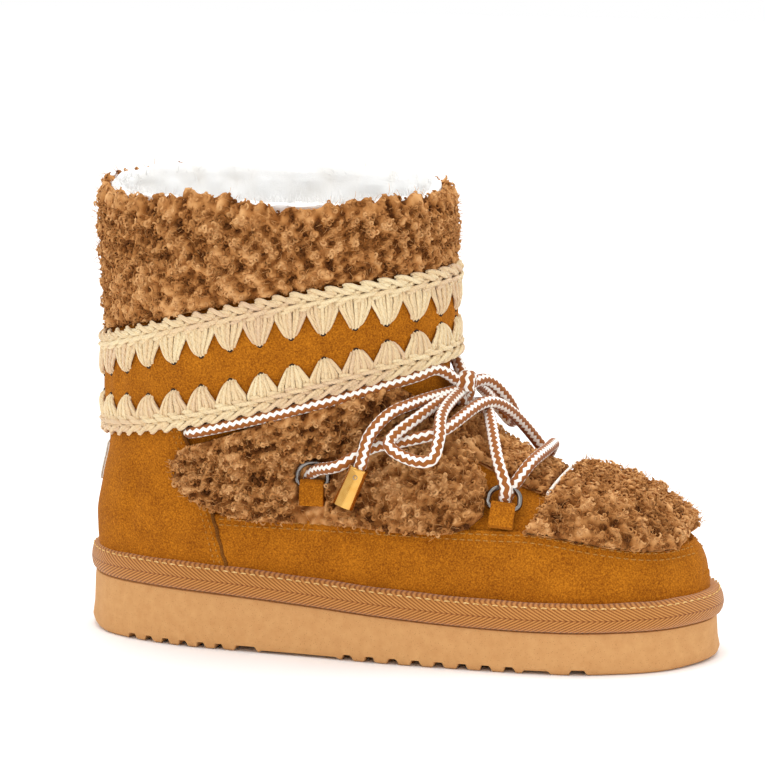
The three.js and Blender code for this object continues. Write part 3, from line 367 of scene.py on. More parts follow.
def spline(points, count):
    """A smooth line through points, with even steps along it."""
    points = np.asarray(points, float)
    gaps = np.linalg.norm(np.diff(points, axis=0), axis=1) ** 0.5
    at = np.concatenate([[0], np.cumsum(gaps)])
    slope = np.empty_like(points)
    slope[1:-1] = (points[2:] - points[:-2]) / (at[2:] - at[:-2])[:, None]
    before = np.diff(points, axis=0) / gaps[:, None]
    slope[1:-1] = mix(before[:-1], before[1:], (gaps[:-1] / (gaps[:-1] + gaps[1:]))[:, None])
    slope[0], slope[-1] = 1.5 * before[0] - slope[1] / 2, 1.5 * before[-1] - slope[-2] / 2
    t = np.linspace(0, at[-1], count * 12)
    i = np.clip(np.searchsorted(at, t, side="right") - 1, 0, len(gaps) - 1)
    u = ((t - at[i]) / gaps[i])[:, None]
    g = gaps[i][:, None]
    line = (points[i] * (1 + 2 * u) * (1 - u) ** 2 + points[i + 1] * u * u * (3 - 2 * u)
            + g * slope[i] * u * (1 - u) ** 2 - g * slope[i + 1] * u * u * (1 - u))  # fmt: skip
    length = np.concatenate([[0], np.cumsum(np.linalg.norm(np.diff(line, axis=0), axis=1))])
    even = np.linspace(0, length[-1], count)
    return np.stack([np.interp(even, length, line[:, k]) for k in range(3)], axis=1), length[-1]


# %% [markdown]
# ## Finishes
# Each finish is a small network on Blender's Principled shader. The colours are kept as they are read
# on a screen and turned to linear light by one function, for the shader works in linear light. The
# patterns use the object's own coordinates, so a noise of scale 1/size has features of that size.
# One class holds a finish and has a short call for each kind of node, so that a recipe reads from
# top to bottom.

# %% Colours, and a class for finishes
def tint(code):
    """An sRGB hex colour as linear light."""
    parts = [int(code[i : i + 2], 16) / 255 for i in (1, 3, 5)]
    return (*[c / 12.92 if c <= 0.04045 else ((c + 0.055) / 1.055) ** 2.4 for c in parts], 1)


class Finish:
    """A material on one Principled shader, and the nodes that feed it."""

    def __init__(self, name, roughness, metallic=0.0, specular=0.5, sheen=0.0, sheen_tint="#FFFFFF"):
        self.material = bpy.data.materials.new(name)
        self.material.use_nodes = True
        self.tree = self.material.node_tree
        self.tree.nodes.clear()
        self.shader = self.node("BsdfPrincipled", {
            "Roughness": roughness, "Metallic": metallic, "Specular IOR Level": specular,
            "Sheen Weight": sheen, "Sheen Roughness": 0.5, "Sheen Tint": tint(sheen_tint)})  # fmt: skip
        self.node("OutputMaterial", {"Surface": self.shader.outputs[0]})
        self.place = self.node("TexCoord").outputs["Object"]

    def node(self, kind, inputs=None, **settings):
        """A node with its settings and its inputs, each a value or the socket that it is linked to."""
        made = self.tree.nodes.new("ShaderNode" + kind)
        for key, value in settings.items():
            setattr(made, key, value)
        for socket, value in (inputs or {}).items():
            if isinstance(value, bpy.types.NodeSocket):
                self.tree.links.new(value, made.inputs[socket])
            else:
                made.inputs[socket].default_value = value
        return made

    def noise(self, size, detail=2, roughness=0.5):
        """A cloudy number from 0 to 1, its clouds this many millimetres wide."""
        inputs = {"Vector": self.place, "Scale": 1 / (size * mm), "Detail": detail, "Roughness": roughness}
        return self.node("TexNoise", inputs).outputs[0]

    def cells(self, size, **settings):
        """The distance to the nearest of many spots, this many millimetres apart."""
        inputs = {"Vector": self.place, "Scale": 1 / (size * mm)}
        return self.node("TexVoronoi", inputs, **settings).outputs["Distance"]

    def kept(self, name):
        """A number that the mesh keeps at its points."""
        return self.node("Attribute", attribute_name=name).outputs["Fac"]

    def maths(self, operation, *values):
        return self.node("Math", dict(enumerate(values)), operation=operation).outputs[0]

    def ramp(self, number, *stops):
        """A colour for a number, through stops of (number, colour)."""
        made = self.node("ValToRGB", {0: number})
        for i, (at, code) in enumerate(stops):
            spot = made.color_ramp.elements[i] if i < 2 else made.color_ramp.elements.new(at)
            spot.position, spot.color = at, tint(code)
        return made.outputs[0]

    def blend(self, share, first, second, **settings):
        inputs = {0: share, 6: first, 7: second}
        return self.node("Mix", inputs, data_type="RGBA", **settings).outputs[2]

    def look(self, colour, height=None, strength=1.0, distance=1.0):
        """Links the colour, and the height as a bump of this distance in millimetres."""
        self.tree.links.new(colour, self.shader.inputs["Base Color"])
        if height is not None:
            inputs = {"Strength": strength, "Distance": distance * mm, "Height": height}
            self.tree.links.new(self.node("Bump", inputs).outputs[0], self.shader.inputs["Normal"])
        return self


def dress(piece, finish, slot, *nodes):
    piece.data.materials.append(finish.material)
    if nodes:
        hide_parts(*nodes)
    return piece


# %% [markdown]
# Suede is the flesh side of a hide, buffed until it stands as a short nap. It scatters light, so it
# has no shine of its own, and the eye knows it by soft cloudy patches where the nap was stroked this
# way and that, over a grain of about two thirds of a millimetre. Two noises give the clouds and the
# grain; a little constant sheen gives the pale bloom at its edges.

# %% Suede, buffed split cowhide dyed ochre
def make_suede(name, dark, body, light, grain=0.4):
    finish = Finish(name, 0.95, specular=0.12, sheen=0.12, sheen_tint="#E8A850")
    nap = finish.noise(grain, 3, 0.7)
    clouds = finish.maths("MULTIPLY", finish.noise(14, 5, 0.6), 0.22)
    both = finish.maths("MULTIPLY_ADD", nap, 0.78, clouds)
    return finish.look(finish.ramp(both, (0.37, dark), (0.63, light), (0.5, body)), nap, 0.5, 0.25)


suede = make_suede("suede_ochre_buffed_split", "#7C4106", "#9E5C0E", "#BE7519", 0.7)
raw_edge = make_suede("suede_raw_cut_edge", "#4A2A0C", "#6B3F14", "#8A561E")
print("finish", suede.material.name)

# %% [markdown]
# Sheepskin dyed caramel: wool grows in small curled locks, paler and drier at the tips. Down at the root
# little light gets in, and that shade is painted into the colour: the locks and the bed are darker low in
# the pile and between the clumps, and paler on the clump tops as painted light. Each lock is a real little
# form in the mesh, so the material only has to know how far up the lock it is and which lock it is. Both
# are numbers kept on the mesh.

# %% Curly sheepskin and the lining's white fleece
def make_wool(name, stops, sheen, fibre=0.35):
    finish = Finish(name, 0.9, specular=0.08, sheen=sheen, sheen_tint=stops[1][1])
    hair = finish.noise(fibre, 4, 0.75)
    # Painted shade and light: the kept depth makes the wool darker low in the pile and paler high on it.
    number = finish.kept("depth")
    for part, weight in ((finish.kept("tone"), 0.14), (hair, 0.3), (finish.noise(18), 0.25)):
        number = finish.maths("MULTIPLY_ADD", part, weight, number)
    number = finish.maths("MULTIPLY", number, 1 / 1.75)
    return finish.look(finish.ramp(number, *stops), hair, 0.8, 0.4)


# Stops from dark to pale by depth: the dark end is painted shade low in the pile, the pale end partly the real pale
# tips and partly painted light.
caramel = [(0.14, "#52290F"), (0.76, "#E4AE74"), (0.32, "#985E2C"), (0.52, "#C2874E")]
undyed = [(0.1, "#F2ECE2"), (0.8, "#FFFFFE"), (0.4, "#FEFCF8")]
curls = make_wool("sheepskin_curls_caramel", caramel, 0.2)
fleece = make_wool("lining_fleece_undyed", undyed, 0.3, 0.5)
print("finishes", curls.material.name, fleece.material.name)


# %% [markdown]
# The lace is a round polyester braid: strands carried round a core by bobbins, some wound with brown
# and some with white. Where a carrier passes over its neighbour its stripe steps sideways, so each
# stripe runs along the cord as a zigzag with a step of about three millimetres. The mesh keeps two
# numbers, millimetres along the cord and the share of a turn round it, and the stripe is drawn from
# those, so it bends with the cord and never slides.

# %% Braided lace
lace_width, stripe_pairs, zigzag = 5, 4, 2.9
braid = Finish("lace_round_braid", 0.8, specular=0.25, sheen=0.15)
run_mm = braid.kept("run")
moved = braid.maths("MULTIPLY_ADD", braid.maths("PINGPONG", run_mm, zigzag / 2), 0.048, braid.kept("round"))
stripe = braid.maths("FRACT", braid.maths("MULTIPLY", moved, stripe_pairs))
strand = braid.maths("PINGPONG", stripe, 0.5)
twill = braid.maths("MULTIPLY_ADD", braid.maths("PINGPONG", run_mm, 0.55), 0.6, strand)
braid.look(braid.ramp(strand, (0.27, "#96561E"), (0.31, "#F6F1E8")), twill, 0.7, 0.4)
print("finish", braid.material.name)


# %% [markdown]
# ## The lace
# The lace comes first after the camera, for its route is a fact of the object: a bar between the two
# front rings, two crossings that leave it over the tongue for the rear rings of the other side, a run
# along each side under the ankle band, and a bow with two tipped ends. The routes repeat the part's
# own points. Each is a tube on a smooth line rather than a bevelled curve, because the braid's
# stripes need to know how far round the cord they are.

# %% A tube with the braid's two numbers
def add_cord(name, points, *nodes, radius=lace_width / 2, sides=16, finish=braid, slot="braid", line=None):
    """A cord through points, or along a given line: its piece, its line and its length."""
    if line is None:
        _, length = spline(points, 60)
        line, length = spline(points, max(12, int(length / 0.9)))
    else:
        length = float(np.linalg.norm(np.diff(line, axis=0), axis=1).sum())
    n = len(line)
    run = np.repeat(np.linspace(0, length, n), sides)
    piece = add_piece(name, tube_rings(line, radius, sides), capped(n, sides), {"run": run})
    corner = np.zeros(len(piece.data.loops), np.int64)
    piece.data.loops.foreach_get("vertex_index", corner)
    k = corner % sides
    share = k / sides
    quads = (n - 1) * sides * 4
    wraps = np.repeat((k[:quads].reshape(-1, 4) == sides - 1).any(axis=1), 4)
    share[:quads] = np.where(wraps & (k[:quads] == 0), 1.0, share[:quads])
    piece.data.attributes.new("round", "FLOAT", "CORNER").data.foreach_set("value", share.astype(np.float32))
    piece["length_mm"] = round(length, 1)
    print(name, round(length), "mm")
    return dress(piece, finish, slot, *nodes), line, length


# %% Places that the route is tied to
panel_stand, panel_depth, tongue_depth, lock_rise = 2.05, 6.4, 4.6, 2.7
tab_depth, tab_high, ring_wide, ring_reach, wire = 4.4, 11, 15, 8, 2.2
on_tongue = clearance + tongue_depth + 1.3 * lock_rise + lace_width / 2 + clearance
on_quarter = panel_stand + panel_depth + 1.3 * lock_rise + lace_width / 2 + clearance
on_ring = panel_stand + tab_depth / 2 + wire / 2 + lace_width / 2 + clearance
bar_high = tab_high - tab_depth / 2


def side_path(spots, lateral):
    """Points at (share along, share up, millimetres out) in the side view."""
    spots = np.asarray(spots, float)
    s, angle = side_spot(along(spots[:, 0]), spots[:, 1] * collar_height, lateral, spots[:, 2])
    return skin(s, angle, spots[:, 2])


ring_spots = {"rear": (0.399, 0.335), "front": (0.695, 0.302)}


def ring_frame(which, lateral):
    share, up_share = ring_spots[which]
    x, z = float(along(share)), up_share * collar_height
    s, angle = side_spot(np.array([x, x]), np.array([z, z + tab_high]), lateral)
    spots, faces_out = skin(s, angle), normal(s, angle)
    up = unit(spots[1] - spots[0])
    forward = unit(np.cross(up, faces_out.sum(axis=0)))
    forward = forward if forward[0] > 0 else -forward
    outward = unit(np.cross(forward, up))
    outward = outward if outward @ faces_out.sum(axis=0) > 0 else -outward
    return spots[0] + outward * (panel_stand + tab_depth / 2), np.stack([forward, up, outward])


def at_ring(which, lateral, spots):
    origin, axes = ring_frame(which, lateral)
    return origin + np.asarray(spots, float) @ axes


def through_ring(which, lateral, spots):
    """Points about the middle of a ring's opening."""
    return at_ring(which, lateral, [(x, bar_high + 5.1 + y, z) for x, y, z in spots])


# %% Crossings and front bar, run through the rings
crossing_spots = [(0.452, 0.44, on_quarter + 1.6), (0.5, 0.478, on_quarter + 0.8),
                  (0.545, 0.492, on_quarter + 0.6), (0.595, 0.51, on_quarter)]  # fmt: skip
bar_halves = []
for lateral, side in sides_of_foot:
    step = lace_width * 0.85 if lateral else 0.0
    raised = [(a, b, c + step * 0.25) for a, b, c in crossing_spots]
    start = through_ring("rear", lateral, [(-2.5, -2.6, -4.2), (-0.6, -0.6, -1.2), (2.6, 1.2, 2.6)])
    end = through_ring("front", not lateral, [(0.2, 1.6, 3.4), (0, 0, 0.4), (0.2, -2.4, -3.6)])
    over = skin(shaft_row - 0.35, 0.0, on_tongue + step)
    landing = side_path([(0.685, 0.445, on_ring + 3.2)], not lateral)
    route = [*start, *side_path(raised, lateral), over, *landing, *end]
    add_cord(f"lace_crossing_from_{side}", route, "lace_crossings")
    bar_end = through_ring("front", lateral, [(0.2, -2.4, -3.6), (0.8, 0.4, -2.2)])
    bar_halves.append([*bar_end, *side_path([(0.724, 0.43, on_tongue - 1.5)], lateral)])
bar_middle = skin(shaft_row - 1.9, 0.0, on_tongue - 1)
add_cord("lace_bar", [*bar_halves[0], bar_middle, *bar_halves[1][::-1]], "lace_crossings")

# %% Runs under the ankle band
knot_middle = np.array([float(along(0.603)), -1.0, 0.574 * collar_height])
widest, under_power = section(float(band_low))[6], section(float(band_low))[8]
first = math.pi - math.acos((1 - 0.344 / widest) ** (under_power / 2))
for side, sign in (("lateral", 1), ("medial", -1)):
    angles = sign * np.linspace(first, 0.34, 9)
    route = skin(band_spot("low", angles, -3.2), angles, clearance + lace_width / 2 + 0.4)
    buried = skin(band_spot("low", sign * (first + 0.1), -3.4), sign * (first + 0.1), -1.5)
    add_cord(f"lace_run_{side}_braid", [buried, *route, knot_middle], f"lace_run_{side}")

# %% Bow: two loops, two ends and the knot
lateral_loop = [(0.598, 0.545, 19), (0.607, 0.505, on_quarter + 9.6), (0.6, 0.466, on_quarter + 9.6),
                (0.569, 0.464, on_quarter + 9.6), (0.531, 0.492, on_quarter + 9.6), (0.567, 0.545, 16)]  # fmt: skip
medial_loop = [(0.622, 15, 0.58), (0.643, 27, 0.532), (0.65, 37, 0.478),
               (0.637, 44, 0.46), (0.611, 44, 0.5), (0.598, 26, 0.56)]  # fmt: skip
loops = {
    "lateral": side_path(lateral_loop, True),
    "medial": np.array([(float(along(a)), y, b * collar_height) for a, y, b in medial_loop]),
}
end_spots = [(0.548, 0.565, 13), (0.521, 0.548, on_quarter + 4),
             (0.499, 0.505, on_quarter + 8), (0.487, 0.44, on_quarter + 6.4)]  # fmt: skip
end_foot = (0.462, 0.351, on_quarter + 3)
tip_grip = 5  # length of lace inside a metal tip
tip_lines, cord_pieces = {}, []
for lateral, side in sides_of_foot:
    points = np.array([knot_middle, *loops[side], knot_middle])
    piece, line, length = add_cord(f"lace_loop_{side}", points, "lace_bow")
    spots = side_path(end_spots, lateral)
    top = spots[-1]
    toward = unit(side_path([end_foot], lateral)[0] - top)
    tip_lines[side] = (top, toward)
    points = np.array([knot_middle, *spots[:-1], top - toward * 2, top, top + toward * tip_grip])
    cord_pieces.append((*add_cord(f"lace_end_{side}", points, "lace_bow"), side))
wraps = []
for t in np.linspace(0, 2 * np.pi * 1.55, 26):
    wraps.append(knot_middle + np.array([1.2 + 1.6 * math.cos(t * 0.5), -4.9 * math.cos(t) - 0.6, 5.3 * math.sin(t)]))
add_cord("lace_knot", wraps, "lace_bow")


# %% [markdown]
# ## Foam sole
# The sole is a wedge of foam, moulded in one with the tread: shallow grooves straight across, deeper
# under the heel and the ball, and a plain shank between. It could be cut with booleans, but a loop
# of the outline at eight heights does the same and stays clean: where a groove crosses, the lowest
# loops are simply lifted to the groove's roof.

# %% Foam finish
foam = Finish("foam_moulded_tan", 0.75, specular=0.3)
pores = foam.ramp(foam.cells(0.9), (0.04, "#000000"), (0.2, "#FFFFFF"))
ground = foam.ramp(foam.noise(4, 4, 0.6), (0.25, "#C08B54"), (0.75, "#CC9A62"))
foam.look(foam.blend(pores, tint("#8F5C2C"), ground), foam.maths("ADD", pores, foam.noise(0.5, 3)), 0.35, 0.2)


# %% Sole with its tread
def outline_loop(steps, grow):
    """Closed outline of the sole, grown outwards, with its outward directions."""
    turns = np.linspace(0, np.pi, steps)
    lateral = np.stack([along((1 - np.cos(turns)) / 2), -sole_half(turns, True)], axis=1)
    medial = np.stack([along((1 - np.cos(turns)) / 2), sole_half(turns, False)], axis=1)[1:-1][::-1]
    loop = np.concatenate([lateral, medial])
    ahead = unit(np.roll(loop, -1, axis=0) - np.roll(loop, 1, axis=0))
    outward = np.stack([ahead[:, 1], -ahead[:, 0]], axis=1)
    return loop + outward * grow, outward


# Grooves of the tread: share along, width and depth.
grooves = [(0.293, 11, 2.6), (0.76, 12.5, 1.56), (0.823, 8, 2.1), (0.3805, 35.8, 1.2)]
grooves += [(0.096 + i * 0.0305, 4.6, 2.6) for i in range(6)]
grooves += [(0.4605 + i * 0.0369, 5.4, 2.6) for i in range(8)]


def groove_roof(x):
    roof = np.zeros_like(x)
    for share, width, depth in grooves:
        slope = min(width * 0.22, 1.6)
        roof = np.maximum(roof, depth * ease((width / 2 - np.abs(x - along(share))) / slope))
    return roof


# Loops from the middle of the tread, out over the rounded foot of the wall, up it and in over the top:
# each has its growth, and its height, in millimetres below and as a share of the wall above.
draft, wall_foot = 1.7, 2.7
low_loops = [(-14, 0.0), (draft - 2.6, 0.0), (draft - 1.5, 0.25), (draft - 0.6, 0.9), (draft, wall_foot)]
high_loops = [(0.9, 0.35), (0.45, 0.85), (0.1, 0.97), (-1.0, 1.0), (-14, 1.0)]
rings = []
for k, (grow, rise_to) in enumerate(low_loops + high_loops):
    loop, _ = outline_loop(620, grow if grow > -5 else -0.5)
    if grow < -5:
        loop = loop * [1, 0.82] * [0.96, 1] + [112 * 0.04, 0]
    share = (loop[:, 0] + heel_pad) / foot_length
    lift = np.clip(1 - share / 0.045, 0, 1) ** 2 * 1.9 + np.clip((share - 0.92) / 0.08, 0, 1) ** 2 * 0.8
    if k < len(low_loops):
        z = np.maximum(rise_to + lift, groove_roof(loop[:, 0]) + 0.04 * k)
    else:
        z = mix(wall_foot, sole_top(loop[:, 0]), rise_to)
    rings.append(np.column_stack([loop, z]))
rings = np.array(rings)
n, m = rings.shape[:2]
faces = grid_quads(n, m, False, True)[:, ::-1].tolist()
for j in range(1, m // 2):
    a, b, c, d = j, j + 1, (m - j - 1) % m, (m - j) % m
    if b != c:
        faces += [[a, d, c, b], [(n - 1) * m + k for k in (a, b, c, d)]]
faces += [[1, 0, m - 1], [(n - 1) * m + k for k in (m - 1, 0, 1)]]
sole = dress(add_piece("sole_foam", rings, faces, crisp=38), foam, "foam_sole", "outsole")
print(sole.name, len(sole.data.polygons), "faces")

# %% [markdown]
# ## Taped rand
# A woven tape is wrapped round the joint of the boot and the sole. It is a herringbone twill: its two
# halves slant towards a line along its middle. The bulge is real geometry. The twill, of about two
# millimetres, is drawn from the two numbers kept on the mesh, so that it runs with the tape round the
# toe, and lifts the surface a little as a bump.

# %% Herringbone tape
tape = Finish("tape_herringbone_twill", 0.85, specular=0.25, sheen=0.2)
run_mm = tape.kept("run")
folded = tape.maths("ABSOLUTE", tape.kept("across"))
slant = tape.maths("MULTIPLY_ADD", folded, 9.5, run_mm)
rib = tape.maths("MULTIPLY", tape.maths("PINGPONG", slant, 1.1), 0.72)
weave = tape.maths("MULTIPLY_ADD", tape.maths("PINGPONG", run_mm, 0.36), 0.25, rib)
mixed = tape.maths("MULTIPLY_ADD", tape.noise(0.5, 3), 0.3, weave)
colour = tape.ramp(mixed, (0.2, "#77400F"), (0.86, "#C68848"), (0.5, "#A5692C"))
spine = tape.ramp(folded, (0.0, "#B89468"), (0.07, "#FFFFFF"))
tape.look(tape.blend(0.75, colour, spine, blend_type="MULTIPLY"), weave, 0.8, 0.35)

# %% The tape's bulge round the boot
rand_high, bulge = 11.2, 3.3
profile_spots = [(-1.7, 0.02), (0.1, 0.0), (0.8, 0.16), (1, 0.42), (0.8, 0.7), (0.2, 0.93), (-0.9, 1.0)]
profile, _ = spline([(*spot, 0) for spot in profile_spots], 22)
profile = np.concatenate([profile, [(-1.7, 0.96, 0)]])
loop, outward = outline_loop(350, 0)
share = (loop[:, 0] + heel_pad) / foot_length
swell = bulge * mix(0.6, 1, ease(share / 0.25))
out = profile[:, 0][:, None] * np.where(profile[:, 0][:, None] > 0, swell, bulge)
wobble = 0.12 * np.sin(np.arange(len(loop)) * 0.21) + 0.1 * np.sin(np.arange(len(loop)) * 0.067)
points = np.empty((len(profile), len(loop), 3))
points[..., :2] = loop + outward * out[..., None]
points[..., 2] = sole_top(loop[:, 0]) + clearance + profile[:, 1][:, None] * (rand_high + wobble)
run = np.concatenate([[0], np.cumsum(np.linalg.norm(np.diff(loop, axis=0), axis=1))])
across = np.clip((profile[:, 1] - 0.48) / 0.46, -1, 1)
faces = grid_quads(len(profile), len(loop), True, True)[:, ::-1]
values = {"run": np.broadcast_to(run, points.shape[:2]), "across": np.broadcast_to(across[:, None], points.shape[:2])}
rand = dress(add_piece("rand_tape", points, faces, values), tape, "tape", "rand")
print(rand.name, round(run[-1]), "mm round")

# %% [markdown]
# ## Suede foot
# The suede is cut in three: a guard round the forefoot, a counter round the heel that laps over it,
# and the upper beneath. Each is a sheet at its own height on the last, with a rounded cut edge. The
# leather of a soft boot creases where the foot bends and sags a little above the sole. Those few
# creases are placed one by one, as soft troughs along lines in the side view.

# %% Creases: from, to, width and depth
creases = [
    (52, 36, 74, 51, 5, 0.7), (66, 33, 92, 47, 6, 0.5), (118, 30, 132, 50, 6, 0.6), (140, 31, 150, 50, 5, 0.7),
    (160, 30, 168, 47, 5, 0.6), (176, 31, 190, 45, 6, 0.5), (26, 40, 40, 66, 6, 0.6), (6, 44, 14, 74, 6, 0.7),
    (-2, 62, 22, 84, 5, 0.5), (98, 38, 108, 52, 7, 0.5), (-12, 46, 30, 50, 7, 0.4),
]  # fmt: skip


def crease(x, z):
    """Depth of the troughs at a place in the side view, with a soft ridge beside each."""
    total = np.zeros(np.shape(x))
    for x1, z1, x2, z2, width, depth in creases:
        length = math.hypot(x2 - x1, z2 - z1)
        ux, uz = (x2 - x1) / length, (z2 - z1) / length
        t = (x - x1) * ux + (z - z1) * uz
        d = (z - z1) * ux - (x - x1) * uz
        fade = ease(t / (0.35 * length) + 0.4) * ease((length - t) / (0.35 * length) + 0.4)
        ridge = 0.55 * np.exp(-(((d - width) / (width * 0.7)) ** 2))
        total += depth * fade * (np.exp(-((d / (width * 0.5)) ** 2)) - ridge)
    return total


# %% Forefoot guard
guard_high, guard_drop, guard_thick, counter_thick = 57, 8.5, 1.2, 1.6
seam_x = along([0.262, 0.258, 0.243, 0.226, 0.205, 0.185])
seam_z = np.array([0.1, 0.18, 0.28, 0.365, 0.44, 0.51]) * collar_height


def guard_edge(x):
    return guard_high - guard_drop * ease(((x + heel_pad) / foot_length - 0.72) / 0.24)


def seam(z):
    return np.interp(z, seam_z, seam_x)


up_steps = np.concatenate([np.linspace(0, 0.94, 22), [0.96, 0.975, 0.987, 0.996, 1]])
toe_steps = 1 - (1 - np.linspace(0, 1, 124)) ** 1.7
grids = []
for lateral in (True, False):
    x = np.broadcast_to(toe_steps, (len(up_steps), len(toe_steps))) * 100
    v = up_steps[:, None]
    for _ in range(6):
        z = mix(sole_top(x) + clearance, guard_edge(x), v)
        x = mix(seam(z[:, :1]) - 3, along(0.98), toe_steps)
    s, angle = side_spot(x, z, lateral, clearance + guard_thick)
    d = (1 - v) * (guard_edge(x) - sole_top(x)) / 0.9
    soft = mix(1, np.sqrt(np.clip(1 - (1 - np.clip(d, 0, 1)) ** 2, 0.02, 1)), ease(np.abs(angle[-1]) / 0.3))
    dent = crease(x, z) * ease((1 - v) * 6) * ease(v * 4)
    outer = skin(s, angle, clearance + guard_thick * soft - dent * ease((along(0.9) - x) / 20))
    grids.append((outer, skin(s, angle, clearance - 0.8), np.abs(angle[-1]) < 1e-3))
caps = []
for k in (0, 1):
    left, right = grids[0][k][:, -1], grids[1][k][:, -1]
    w = np.linspace(-1, 1, 15)[1:-1]
    middle = (left[:, None] + right[:, None]) / 2 + (right - left)[:, None] * w[:, None] / 2
    middle[..., 0] += 1.3 * (1 - w**2) * ease(np.linalg.norm(right - left, axis=1) / 8)[:, None]
    caps.append(np.concatenate([grids[0][k], middle, grids[1][k][:, ::-1]], axis=1))
zipped = np.concatenate([grids[0][2], np.ones(13, bool), grids[1][2][::-1]])
guard = add_shell("guard_suede", caps[0], caps[1], open_top=zipped)
work = bmesh.new()
work.from_mesh(guard.data)
bmesh.ops.remove_doubles(work, verts=work.verts, dist=0.02 * mm)
work.to_mesh(guard.data)
work.free()
dress(guard, suede, "suede", "side_guard")
print(guard.name, len(guard.data.polygons), "faces")

# %% Heel counter, from seam to seam round the back
seam_up = np.linspace(0, 1, 40)
around = np.linspace(0, 1, 110)
edge_z = mix(seam_z[0] + 4, seam_z[-1], seam_up)
counter_out = clearance + counter_thick


def counter_places(lateral):
    """Sections and angles of half the counter, its seam in the first column."""
    s_edge, a_edge = side_spot(seam(edge_z), edge_z, lateral, counter_out)
    a_edge = np.abs(a_edge)
    a = mix(a_edge[:, None], math.pi, around[None, :])
    floor = level(24.8, a, counter_out)
    floor = level(sole_top(skin(floor, a, counter_out)[..., 0]) + clearance, a, counter_out)
    top = band_spot("low", a, 0.5)
    share = np.clip((s_edge - floor[:, 0]) / (top[:, 0] - floor[:, 0]), 0, 1)
    share = (share - share[0]) / (share[-1] - share[0])
    return mix(floor, top, share[:, None]), a


halves = []
for lateral in (True, False):
    s, a = counter_places(lateral)
    spots = skin(s, a)
    rim = np.minimum(around * 60 / 1.3, 1)
    soft = np.sqrt(np.clip(1 - (1 - rim) ** 2, 0.05, 1))
    dent = crease(spots[..., 0], spots[..., 2]) * ease(around * 5)
    a = a if lateral else -a
    halves.append((skin(s, a, clearance + counter_thick * soft - dent), skin(s, a, clearance - 0.8)))
outer, inner = [np.concatenate([halves[0][k], halves[1][k][:, -2::-1]], axis=1) for k in (0, 1)]
counter = dress(add_shell("counter_suede", outer, inner), suede, "suede", "heel_counter")
print(counter.name, len(counter.data.polygons), "faces")

# %% Upper of suede, and the ankle band
s = np.concatenate([np.linspace(0, 9, 34), np.linspace(9.2, collar - 0.35, 40)])[:, None]
a = np.linspace(0, 2 * np.pi, 110, endpoint=False)[None, :]
outer, inner = skin(s, a), skin(s, a, -1.4)
for grid, gap in ((outer, clearance), (inner, clearance + 0.5)):
    grid[..., 2] = np.maximum(grid[..., 2], sole_top(grid[..., 0]) + gap)
upper = dress(add_shell("upper_suede", outer[:, ::-1], inner[:, ::-1], closed=True), suede, "upper", "upper")
s = np.concatenate([[0, 0.02, 0.05, 0.1], np.linspace(0.18, 0.82, 12), [0.9, 0.95, 0.98, 1]])[:, None]
a = np.linspace(0, 2 * np.pi, 200, endpoint=False)[None, :]
soft = np.sqrt(np.clip(1 - (1 - np.clip(np.minimum(s, 1 - s) / 0.1, 0, 1)) ** 2, 0.1, 1))
puff = 0.5 * np.sin(s * np.pi) + 0.25 * np.sin(a * 30) * np.sin(s * np.pi)
s = mix(band_spot("low", a, 3.6), band_spot("high", a, -3.6), s)
outer = skin(s, a, clearance + 2 * soft + puff)
inner = skin(s, a, clearance - 0.6)
band = dress(add_shell("ankle_band_suede", outer[:, ::-1], inner[:, ::-1], closed=True), suede, "suede", "ankle_band")
print(upper.name, band.name)


# %% [markdown]
# ## Sheepskin
# Curly sheepskin could be a particle system, but hairs alone never read as curls at this distance,
# and an exported model loses them. What the eye sees is wool in soft clumps of four to five
# millimetres, with dark gaps between: the clumps are real lumps, and the shade in the gaps is also
# painted into the colour. So every patch is a lumpy bed of wool, planted with a few thousand short
# curled strands, no two nearer than about 1.6 millimetres, which are tallest on the clumps. Some fine
# loose hairs over them soften the outline.

# %% Clumps, scattering and locks
def lumps(points, size, seed, waves=14):
    """A smooth random number from -1 to 1 over space, for clumps of this size in millimetres."""
    picks = np.random.default_rng(seed)
    ways = unit(picks.normal(size=(waves, 3))) * (2 * np.pi / size) * picks.uniform(0.6, 1.4, (waves, 1))
    total = np.sin(points @ ways.T + picks.uniform(0, 6.3, waves)).sum(axis=-1)
    return np.clip(total / (waves / 2) ** 0.5 / 1.6, -1, 1)


def clumps(points, bed):
    """Height of a bed's clumps, large and small; its locks take the same numbers."""
    return 0.5 * lumps(points, 10, bed + 1) + 0.95 * lumps(points, 4.6, bed + 2)


def scatter(place, spacing, tries, seed):
    """Shares of a patch, across and up, that leave the spacing between any two spots."""
    picks = np.random.default_rng(seed)
    u, v = picks.random((2, tries))
    points = place(u, v)[0]
    cells = {}
    kept = []
    homes = np.floor(points / spacing).astype(int)
    near = [(i, j, k) for i in (-1, 0, 1) for j in (-1, 0, 1) for k in (-1, 0, 1)]
    for n, (point, home) in enumerate(zip(points.tolist(), homes.tolist())):
        free = True
        for i, j, k in near:
            for other in cells.get((home[0] + i, home[1] + j, home[2] + k), ()):
                if sum((a - b) ** 2 for a, b in zip(point, other)) < spacing**2:
                    free = False
                    break
            if not free:
                break
        if free:
            cells.setdefault(tuple(home), []).append(point)
            kept.append(n)
    return u[kept], v[kept]


